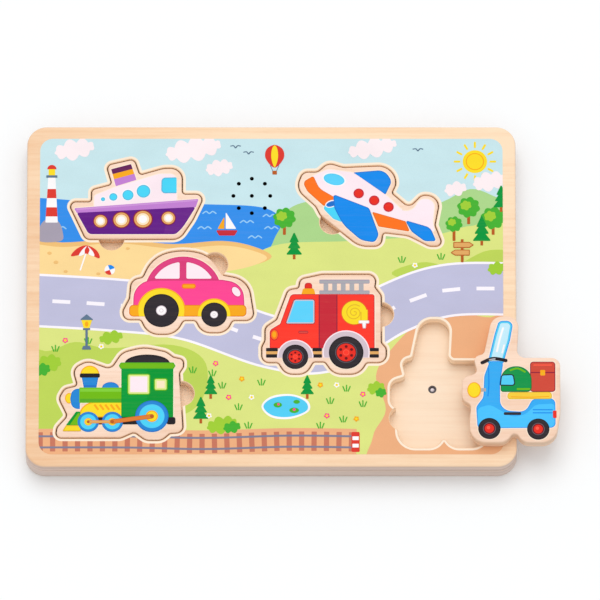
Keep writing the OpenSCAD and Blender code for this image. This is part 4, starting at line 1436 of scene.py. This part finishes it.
def car_picture(sheet):
    """A round car with two windows and high wheel arches."""
    coat = sheet.coat
    roof = (-54, 2.3)
    body = [
        (-84.6, -9, 0.5), (-84.2, 9.6, 12), (-70, 10.6, 0.5), (-30, 10.6, 4), (-17.2, 8.2, 11),
        (-16.3, -9, 0.5),
    ]
    sill_low = -13.4
    sill = box_corners(-87, sill_low, -15.2, -5.8, 2.6)
    coat("ground_white", sector(*roof, 23.5 + UNDERPRINT, 168, 12))
    underprint(sheet, body, sill)
    coat("pink_shade", sector(*roof, 23.5, 166, 14))
    sheet.edged("pink_shade", "pink", body, 0.6)
    coat("hot_pink", sector(*roof, 22.8, 157, 23))
    coat("pink_shade", sector(*roof, 20.6, 154.5, 25.5))
    rear_arc = sector(*roof, 19.9, 147, 102, 6)
    front_arc = sector(*roof, 19.9, 78, 33, 6)
    coat("blush", soft([(-72.6, 11.3), *rear_arc, (-56.2, 22.2), (-56.2, 11.3)], 0.9))
    coat("blush", soft([(-52, 11.3), (-52, 22.2), *front_arc, (-35.4, 11.3)], 0.9))
    coat("orange", box(-54.9, 4.7, -46.2, 8.1, 1.5))
    coat("amber", box(-54.2, 5.4, -46.9, 7.4, 0.9))
    coat("pink_shade", ellipse(-21.5, 2.8, 2.6, 3.9, 34))
    coat("blush", ellipse(-21.5, 2.8, 2.1, 3.4, 34))
    sheet.edged("orange_shade", "amber", sill, 0.45)
    for x, y, r, tyre in ((-67.3, -9.5, 14.8, 10.8), (-35, -12.2, 10.6, 7.9)):
        sheet.arch("amber", "yellow", x, y, r, sill_low)
        sheet.rings(x, y, tyre, black=1, tyre=0.93, arch_grey=0.3, white=0.26)
        coat("arch_grey", ellipse(x, y, tyre * 0.12, points=SMALL_POINTS))
        coat("white", ellipse(x, y, tyre * 0.09, points=SMALL_POINTS))


def fire_engine_picture(sheet):
    """A fire engine with its ladder, lamp, shutter and hose reel."""
    coat = sheet.coat
    shell = [
        (-1, -34.2, 0.6), (-1, -22.2, 3.5), (5.4, -18.2, 1.5), (12, 1.2, 3), (63.2, 1.2, 1.6),
        (63.2, -34.2, 0.6),
    ]
    rear_wheel = (45.8, -36.9)
    front_wheel = (14.7, -39.7)
    underprint(sheet, shell, disc_corners(*rear_wheel, 10.6), disc_corners(*front_wheel, 7.9))
    coat("grey", *[box(x, 2.6, x + 2.9, 9, 0.2) for x in (32, 37.3, 42.6, 47.9, 53.6)])
    coat("rock", box(29.4, 8.1, 60.2, 10.7, 0.7), box(29.4, 1.3, 60.2, 3.6, 0.5))
    coat("grey", box(29.8, 8.5, 59.8, 9.9, 0.4), box(29.8, 1.7, 59.8, 3, 0.4))
    coat("amber", soft([(18.4, 1), (19.3, 4.4), (20.6, 5.2), (25, 5.2), (26.2, 4.4), (27, 1)], 0.4))
    coat("maroon", rounded([(20.4, 4.9, 0.4), (20.4, 8.6, 1.9), (25, 8.6, 1.9), (25, 4.9, 0.4)]))
    coat("red", rounded([(21, 5.2, 0.4), (21, 8, 1.5), (24.4, 8, 1.5), (24.4, 5.2, 0.4)]))
    sheet.edged("maroon", "engine_red", shell, 0.45)
    coat("maroon", box(29.1, -33.7, 40.4, 0.7, 0.2))
    coat("wine", box(29, -33.7, 29.6, 0.7, 0.1), box(39.9, -33.7, 40.5, 0.7, 0.1))
    for low, high, colour in ((-36.1, -33.9, "black"), (-38, -36.1, "tan"), (-40.2, -38, "black")):
        spans = ((-3.2, 4), (25.2, 31), (60.2, 65.8))
        coat(colour, *[box(left, low, right, high, 0.5) for left, right in spans])
    pane = [(8.4, -18.4, 1.2), (13.8, -2, 2.2), (26.8, -2, 1.8), (26.8, -18.4, 1.6)]
    for growth, colour in ((0, "wine"), (-0.4, "arch_grey"), (-1.1, "pale_cyan")):
        coat(colour, rounded(grown(pane, growth)))
    coat("wine", box(16.6, -24.4, 22.6, -22.8, 0.8))
    coat("coral", box(16.9, -23.9, 22.3, -23.3, 0.3))
    reel = (50.8, -10.9)
    coat("orange_shade", ellipse(*reel, 8.1))
    coat("orange_shade", box(54.6, -16.6, 59.4, -9, 0.4))
    coat("yellow", ellipse(*reel, 7.6))
    coat("yellow", box(55, -16.4, 58.9, -9, 0.4))
    # The hose is a spiral that widens by the same amount with each step
    turns = []
    for step in range(33):
        angle = math.radians(100 - step * 24)
        r = 0.6 + step * 0.148
        turns.append((reel[0] + r * math.cos(angle), reel[1] + r * math.sin(angle)))
    coat("mustard", stroke(turns, 0.6))
    coat("mustard", box(54.6, -15.8, 55.2, -10.4, 0.2))
    coat("arch_grey", box(53.4, -18, 60, -16, 0.5))
    coat("white", box(53.8, -17.7, 59.6, -16.2, 0.4))
    coat("arch_grey", soft([(55.4, -17.6), (58.2, -17.6), (57.8, -21.2), (56, -21.2)], 0.3))
    coat("white", soft([(55.8, -17.6), (57.8, -17.6), (57.5, -20.8), (56.3, -20.8)], 0.3))
    coat("maroon", ellipse(1.9, -25.4, 2.5, 3.5))
    coat("orange", ellipse(1.9, -25.4, 2.1, 3.1))
    coat("amber", ellipse(1.8, -25.2, 1.2, 2))
    arch_low = -40.3
    for (x, y), arch, tyre, hub in ((rear_wheel, 14.4, 10.6, 5.8), (front_wheel, 11.1, 7.9, 4.1)):
        sheet.arch("blush", "arch_grey", x, y, arch, arch_low)
        sheet.rings(x, y, tyre, black=1, tyre=0.92)
        coat("tyre_ring", ellipse(x, y, hub + 0.9))
        coat("black", ellipse(x, y, hub + 0.5))
        sheet.rings(x, y, hub, red=1, coral=0.34, engine_red=0.27)
        nuts = places_round(x, y, hub * 0.66, 6, 0.5)
        coat("dark_wine", *[ellipse(*nut, hub * 0.16, points=TINY_POINTS) for nut in nuts])


def locomotive_picture(sheet):
    """A steam engine with a cab, a boiler, a cowcatcher and coupled wheels."""
    coat = sheet.coat
    cab = box_corners(-91.6, -79, -59.9, -46.6, 0.6)
    boiler = box_corners(-117.3, -69.6, -91, -59.7, 0.4)
    eave = [
        (-93.2, -45.5, 0.5), (-92, -43.4, 0.6), (-59.8, -43.4, 0.6), (-58.5, -45.5, 0.5),
        (-59.8, -47.6, 0.6), (-92, -47.6, 0.6),
    ]
    chimney = [(-115.9, -52.6, 0.3), (-105.6, -52.6, 0.3), (-106.9, -60.2, 0.3), (-114.5, -60.2, 0.3)]
    front = [
        (-122.9, -67, 5.2), (-121.6, -60.4, 4.4), (-116.9, -60.4, 0.3), (-116.9, -73.6, 0.3),
        (-121.6, -73.6, 4.4),
    ]
    wheels = ((-111.7, -82, 6.5), (-97, -82, 6.5), (-72.9, -78.4, 10.2))
    underprint(sheet, cab, eave, boiler, chimney, front, *[disc_corners(*each) for each in wheels])
    coat("amber", dome(-110.9, -51.2, 5.8))
    coat("yellow", dome(-110.9, -51.2, 5.2))
    coat("amber", ellipse(-123.4, -66.6, 2.6, 3.4))
    coat("yellow", ellipse(-123.4, -66.6, 2.1, 2.9))
    sheet.edged("blue_shade", "train_blue", front, 0.45)
    sheet.edged("blue_shade", "train_blue", chimney, 0.4)
    coat("blue_shade", soft([(-114.6, -58.2), (-106.7, -58.2), (-106.9, -59.4), (-114.4, -59.4)], 0.2))
    coat("black", box(-117, -53.2, -104.8, -50.5, 0.9))
    coat("blue_shade", dome(-98.2, -60, 5.2, 0.74))
    coat("train_blue", dome(-98.2, -60, 4.6, 0.74))
    coat("black", dome(-75.8, -44, 13.8, 0.42))
    coat("tyre", dome(-75.8, -44, 12.6, 0.36))
    coat("black", box(-106, -83.6, -80, -77.6, 0.6))
    coat("black", box(-64, -83.6, -58.5, -78.8, 1.4))
    skirt_edge = [(-118.4, -79, 1), (-114.4, -69.4, 9), (-91.4, -68.8, 0.3), (-91.4, -79, 0.3)]
    skirt = [(-117.2, -78.4, 1), (-113.9, -69.9, 8.6), (-91.4, -69.4, 0.3), (-91.4, -78.4, 0.3)]
    coat("amber", rounded(skirt_edge))
    coat("yellow", rounded(skirt))
    hatch = [ribbon([(x, -70.8), (x + 2.4, -74.2)], 1.3) for x in (-108, -104.7, -101.4, -98.1, -94.8)]
    coat("amber", *hatch)
    coat("light_green", rounded(boiler))
    coat("lime", box(-116.8, -62.4, -91, -60.4, 0.3))
    coat("grass", box(-116.8, -69.2, -91, -67, 0.3))
    coat("green", rounded(cab))
    coat("bright_green", box(-91, -78.4, -76, -47.4, 0.4))
    sheet.edged("grass", "light_green", eave, 0.5)
    for left, low, right, high in ((-87.9, -64.4, -74, -50.8), (-71.7, -61.7, -63.4, -53.7)):
        pane = box_corners(left, low, right, high, 1.5)
        sheet.edged("light_green", "pale_lime", pane, 0.6)
        coat("blush" if right - left > 10 else "cream", rounded(grown(pane, -1.7)))
    coat("green", soft([(-125.4, -84.3), (-119.2, -75.4), (-116.6, -75.4), (-116.6, -84.3)], 0.4))
    coat("light_green", soft([(-123, -84), (-118, -76.4), (-117, -76.4), (-117, -84)], 0.3))
    coat("mustard", soft([(-127.6, -88.1), (-125.3, -84.2), (-116.4, -84.2), (-116.2, -88.1)], 0.5))
    coat("yellow", soft([(-126.6, -87.6), (-124.9, -84.8), (-116.8, -84.8), (-116.6, -87.6)], 0.4))
    for x, y, r in wheels:
        sheet.rings(x, y, r, blue_shade=1, train_blue=0.95, cyan=0.76, bright_cyan=0.68)
        sheet.rings(x, y, r, cyan=0.52, amber=0.37, yellow=0.3)
    front_rod = [(-111.7, -82), (-97, -82)]
    coat("rod", stroke(front_rod, 2))
    coat("tan", stroke(front_rod, 1.4))
    main_rod = [(-97, -81.9), (-73, -78.5)]
    coat("trunk", stroke(main_rod, 2.9))
    coat("rod", stroke(main_rod, 2.3))
    coat("trunk", ellipse(-97, -81.9, 1), ellipse(-73, -78.5, 1), ellipse(-111.7, -82, 0.8))


def scooter_picture(sheet):
    """A scooter with a windscreen, a helmet on its seat and a top box; drawn about its seat."""
    coat = sheet.coat
    hull = [
        (-15.6, -31, 2.5), (-16.4, -17, 5), (-12, -11, 6), (-11.4, 3, 8), (-8, 12.6, 2.5), (0.4, 12.6, 2.5),
        (-1.8, -2, 12), (-1.8, -19.4, 7), (13.6, -20.4, 6), (18, -12, 4), (31.9, -11.4, 3.5),
        (32, -30.6, 3),
    ]
    screen = [(-9.4, 11, 1), (-5, 30, 14), (-2.4, 38.8, 3), (6.6, 38.8, 3.5), (4.4, 26, 14), (0.2, 11, 1)]
    seat = [(2.4, -12.2, 1.8), (3, -7.6, 2.2), (29.6, -7.4, 2), (30, -12, 1.6)]
    case = box_corners(16.6, -7.4, 32, 12.2, 2)
    shell = [(-1.4, -7.4, 1.5), (-1.4, 9.2, 9), (17.4, 9.2, 9), (17.6, -7.4, 3)]
    wheels = ((-8.4, -31.2, 6.8), (21.4, -31.6, 6.8))
    underprint(sheet, screen, hull, seat, case, shell, *[disc_corners(*each) for each in wheels])
    sheet.edged("blue", "cyan", screen, 0.5)
    coat("glass", rounded(grown(screen, -1.5)))
    coat("white", stroke([(-3.6, 19), (-1.8, 27), (0.2, 34)], 1.2), stroke([(-0.4, 18), (0.8, 23)], 0.9))
    sheet.edged("blue", "scooter_blue", hull, 0.45)
    coat("bright_blue", rounded([
        (-15, -30.6, 2.4), (-15.8, -18, 4), (-8, -15.6, 6), (-1, -19.8, 6), (6, -24, 8), (14, -21.8, 8),
        (20, -15.6, 6), (31.4, -15, 2), (31.4, -30.2, 2.8),
    ]))
    lines = ([(-8.8, 8), (-8.6, -2), (-9.2, -10)], [(18.4, -19), (30, -19)], [(18.4, -21), (30, -21)])
    coat("blue", *[stroke(line, 0.7) for line in lines])
    coat("tyre", box(0.4, -22.4, 11, -20.6, 0.8))
    coat("black", stroke([(-12.6, 11.6), (-6, 14.2), (1.8, 13)], 2.2))
    coat("grey", stroke([(-8, 13.4), (-5, 14)], 1.1))
    coat("grey", ribbon([(-14.6, -6.2), (-10.4, -6)], 2.2))
    coat("amber", ellipse(-17.6, -6.2, 4.2, 5.1))
    coat("yellow", ellipse(-17.7, -6.1, 3.6, 4.5))
    coat("sun", ellipse(-18.2, -5.2, 2.2, 2.8))
    sheet.edged("mustard", "seat_yellow", seat, 0.45)
    coat("amber", stroke([(5, -10.6), (16, -10.9), (28, -10.4)], 0.6))
    sheet.edged("wine", "box_red", case, 0.5)
    coat("wine", box(17.1, 4.8, 31.5, 5.5, 0.2))
    coat("coral", stroke([(19, 10), (29.6, 10)], 0.8))
    coat("amber", box(22.8, 3.2, 25.8, 6.8, 0.6))
    coat("mustard", box(23.7, 4, 24.9, 5, 0.4))
    sheet.edged("dark_green", "helmet", shell, 0.5)
    coat("light_green", stroke([(4.6, 6.6), (9, 7.8), (13.4, 5.6)], 1.1))
    pane = [(-2, -3.4, 1), (-1.2, 3.8, 2), (6.6, 4.2, 2), (7.8, -3.6, 2)]
    sheet.edged("black", "cyan", pane, 0.7)
    coat("pale_cyan", stroke([(0.6, 2), (4, 2.3)], 0.8))
    coat("light_green", box(8.4, -6.2, 16.6, -5, 0.4))
    coat("red", box(30.4, -24.4, 32.6, -19.6))
    for x, y, r in wheels:
        sheet.rings(x, y, r, black=1, tyre=0.92, tyre_ring=0.58, dark_wine=0.52, red=0.42)
        coat("coral", ellipse(x - r * 0.08, y + r * 0.08, r * 0.16, points=SMALL_POINTS))


class PuzzleBoatPrint(bpy.types.Operator):
    """Boat printed on its piece"""

    bl_idname = "puzzle.boat_print"
    bl_label = "Boat print"

    def execute(self, context):
        print_vehicle("boat", boat_picture)
        return {"FINISHED"}


class PuzzlePlanePrint(bpy.types.Operator):
    """Plane printed on its piece"""

    bl_idname = "puzzle.plane_print"
    bl_label = "Plane print"

    def execute(self, context):
        print_vehicle("plane", plane_picture)
        return {"FINISHED"}


class PuzzleCarPrint(bpy.types.Operator):
    """Car printed on its piece"""

    bl_idname = "puzzle.car_print"
    bl_label = "Car print"

    def execute(self, context):
        print_vehicle("car", car_picture)
        return {"FINISHED"}


class PuzzleFireEnginePrint(bpy.types.Operator):
    """Fire engine printed on its piece"""

    bl_idname = "puzzle.fire_engine_print"
    bl_label = "Fire engine print"

    def execute(self, context):
        print_vehicle("fire_engine", fire_engine_picture)
        return {"FINISHED"}


class PuzzleLocomotivePrint(bpy.types.Operator):
    """Locomotive printed on its piece"""

    bl_idname = "puzzle.locomotive_print"
    bl_label = "Locomotive print"

    def execute(self, context):
        print_vehicle("locomotive", locomotive_picture)
        return {"FINISHED"}


class PuzzleScooterPrint(bpy.types.Operator):
    """Scooter printed on its piece"""

    bl_idname = "puzzle.scooter_print"
    bl_label = "Scooter print"

    def execute(self, context):
        print_vehicle("scooter", scooter_picture)
        return {"FINISHED"}


def node_materials():
    """A finish for each CAD node that shows as it is."""
    colours = bpy.context.scene.puzzle_wood
    base = wood("base_wood", colours.base_light, colours.base_dark, colours.cut_edge)
    steel = plain("bright_steel", (196, 196, 198), (150, 150, 154), 1400, 0.6, 0.28, 0.08, 1.0)
    plated = plain("plated_steel", (170, 168, 162), (128, 126, 122), 1300, 0.6, 0.36, 0.08, 1.0)
    contact = plain("nickel_contact", (204, 200, 190), (160, 154, 142), 1500, 0.6, 0.25, 0.06, 1.0)
    sensor = plain("sensor_plastic", (66, 54, 56), (48, 40, 42), 2600, 0.5, 0.4)
    cells = plain("cell_jacket", (60, 92, 140), (44, 72, 116), 1800, 0.4, 0.35)
    finishes = {
        "base_panel": base,
        "back_cover": plain("fibre_board", (150, 112, 78), (122, 88, 60), 1500, 0.7, 0.62, 0.2),
        "back_cover_screws": steel,
        "circuit_board_screws": steel,
        "door_screw": steel,
        "sensor_lenses": plain("lens_plastic", (250, 240, 242), (206, 190, 196), 1100, 0.9, 0.14),
        "speaker_basket": plated,
        "speaker_cone": plain("cone_paper", (48, 45, 44), (70, 66, 62), 2600, 0.8, 0.8, 0.3),
        "speaker_gasket": plain("gasket_foam", (38, 37, 38), (58, 56, 58), 3200, 0.9, 0.9, 0.4),
        "speaker_magnet": plain("ferrite", (62, 60, 60), (40, 38, 38), 1700, 0.7, 0.6),
        "circuit_board": plain("circuit_laminate", (34, 104, 62), (24, 80, 46), 2100, 0.5, 0.4),
        "sound_chip": plain("chip_resin", (34, 33, 35), (52, 50, 52), 2800, 0.6, 0.55),
        "board_components": plain("component_body", (176, 150, 112), (120, 96, 66), 1900, 0.6, 0.45),
        "battery_tray": plain("tray_plastic", (70, 70, 72), (52, 52, 54), 2400, 0.5, 0.5),
        "front_cell": cells,
        "rear_cell": cells,
        "contact_plates": contact,
        "contact_springs": contact,
        "battery_door": plain("door_plastic", (92, 92, 96), (74, 74, 78), 2400, 0.5, 0.48, 0.2),
        "sensor_leads": plain("red_wire", (196, 44, 40), (160, 32, 30), 2000, 0.5, 0.42),
        "speaker_lead": plain("orange_wire", (226, 120, 40), (190, 94, 28), 2000, 0.5, 0.42),
        "battery_lead": plain("black_wire", (44, 42, 44), (64, 62, 64), 2000, 0.5, 0.42),
    }
    for name in VEHICLES:
        finishes[name + "_sensor"] = sensor
    return finishes


class PuzzleFinishes(bpy.types.Operator):
    """Materials of the base panel, the underside, the sensors and the works inside"""

    bl_idname = "puzzle.finishes"
    bl_label = "Base, underside and works"

    def execute(self, context):
        for name, material in node_materials().items():
            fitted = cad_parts[name]
            if not fitted.material_slots:
                fitted.data.materials.append(material)
            for slot in fitted.material_slots:
                slot.material = material
        return {"FINISHED"}


def lay_floor(stage):
    """White floor, which looks as pale as it is meant to and throws back less light than that."""
    bpy.ops.mesh.primitive_plane_add(size=FLOOR_SIZE, location=(0, 0, -FLOOR_DROP))
    floor = bpy.context.object
    floor.name = "floor"
    bpy.ops.object.transform_apply(location=True, rotation=False, scale=False)
    material, tree, shader = new_material("floor_paper")
    ray = node(tree, "ShaderNodeLightPath")
    seen = sums(tree, "MAXIMUM", ray.outputs["Is Camera Ray"], ray.outputs["Is Glossy Ray"])
    seen = sums(tree, "MAXIMUM", seen, ray.outputs["Is Transmission Ray"])
    colour = mixed(tree, seen, FLOOR_BOUNCE, (*stage.floor, 1))
    tree.links.new(colour, shader.inputs["Base Color"])
    shader.inputs["Roughness"].default_value = FLOOR_ROUGHNESS
    shader.inputs["Specular IOR Level"].default_value = 0
    paint(floor, material)


def light_room(stage):
    """Even light from all round, and one soft lamp from behind."""
    world = bpy.data.worlds.new("studio")
    world.use_nodes = True
    room = world.node_tree.nodes["Background"]
    room.inputs["Color"].default_value = (1, 1, 1, 1)
    room.inputs["Strength"].default_value = stage.sky_light
    bpy.context.scene.world = world
    bpy.ops.object.light_add(type="SUN", location=LAMP_PLACE)
    lamp = bpy.context.object
    lamp.name = "soft_lamp"
    lamp.data.energy = stage.lamp_light
    lamp.data.angle = stage.lamp_spread
    lamp.rotation_euler = Vector(LAMP_WAY).to_track_quat("-Z", "Y").to_euler()


def place_camera(stage):
    """A camera far away at the picture's angle, with a long lens."""
    aim = Vector((stage.aim_x, stage.aim_y, FACE_HIGH[2] - AIM_DROP))
    away = Vector((0, -math.cos(stage.elevation), math.sin(stage.elevation)))
    bpy.ops.object.camera_add(location=aim + away * stage.distance)
    camera = bpy.context.object
    camera.name = "picture_camera"
    camera.rotation_euler = (-away).to_track_quat("-Z", "Y").to_euler()
    camera.data.lens = camera.data.sensor_width * stage.distance / stage.view_width
    camera.data.clip_end = VIEW_END
    bpy.context.scene.camera = camera


class PuzzleStageSet(bpy.types.Operator):
    """White floor, soft light and a camera at the picture's angle"""

    bl_idname = "puzzle.stage"
    bl_label = "Stage"

    def execute(self, context):
        stage = context.scene.puzzle_stage
        deselect_all()
        lay_floor(stage)
        light_room(stage)
        place_camera(stage)
        context.scene.view_settings.view_transform = "Standard"
        return {"FINISHED"}


OPERATORS = (
    PuzzleStageSet, PuzzleFacePanel, PuzzlePieces, PuzzleLandscape, PuzzleBoatPrint, PuzzlePlanePrint,
    PuzzleCarPrint, PuzzleFireEnginePrint, PuzzleLocomotivePrint, PuzzleScooterPrint, PuzzleFinishes,
)
GROUPS = {
    "puzzle_sizes": PuzzleSizes,
    "puzzle_wood": PuzzleWood,
    "puzzle_inks": PuzzleInks,
    "puzzle_stage": PuzzleStage,
}


class PuzzlePanel(bpy.types.Panel):
    """Lists the steps that build the puzzle"""

    bl_idname = "VIEW3D_PT_puzzle"
    bl_label = "Sound puzzle"
    bl_space_type = "VIEW_3D"
    bl_region_type = "UI"
    bl_category = "Puzzle"

    def draw(self, context):
        for operator in OPERATORS:
            self.layout.operator(operator.bl_idname)
        for name in GROUPS:
            column = self.layout.column(align=True)
            group = getattr(context.scene, name)
            for key in group.__annotations__:
                column.prop(group, key)


def register():
    for name, group in GROUPS.items():
        bpy.utils.register_class(group)
        setattr(bpy.types.Scene, name, bpy.props.PointerProperty(type=group))
    for operator in OPERATORS:
        bpy.utils.register_class(operator)
    bpy.utils.register_class(PuzzlePanel)


def unregister():
    bpy.utils.unregister_class(PuzzlePanel)
    for operator in reversed(OPERATORS):
        bpy.utils.unregister_class(operator)
    for name, group in GROUPS.items():
        delattr(bpy.types.Scene, name)
        bpy.utils.unregister_class(group)


def main():
    """Builds the puzzle step by step."""
    register()
    deselect_all()
    for operator in OPERATORS:
        module, name = operator.bl_idname.split(".")
        getattr(getattr(bpy.ops, module), name)()


if __name__ == "__main__":
    main()
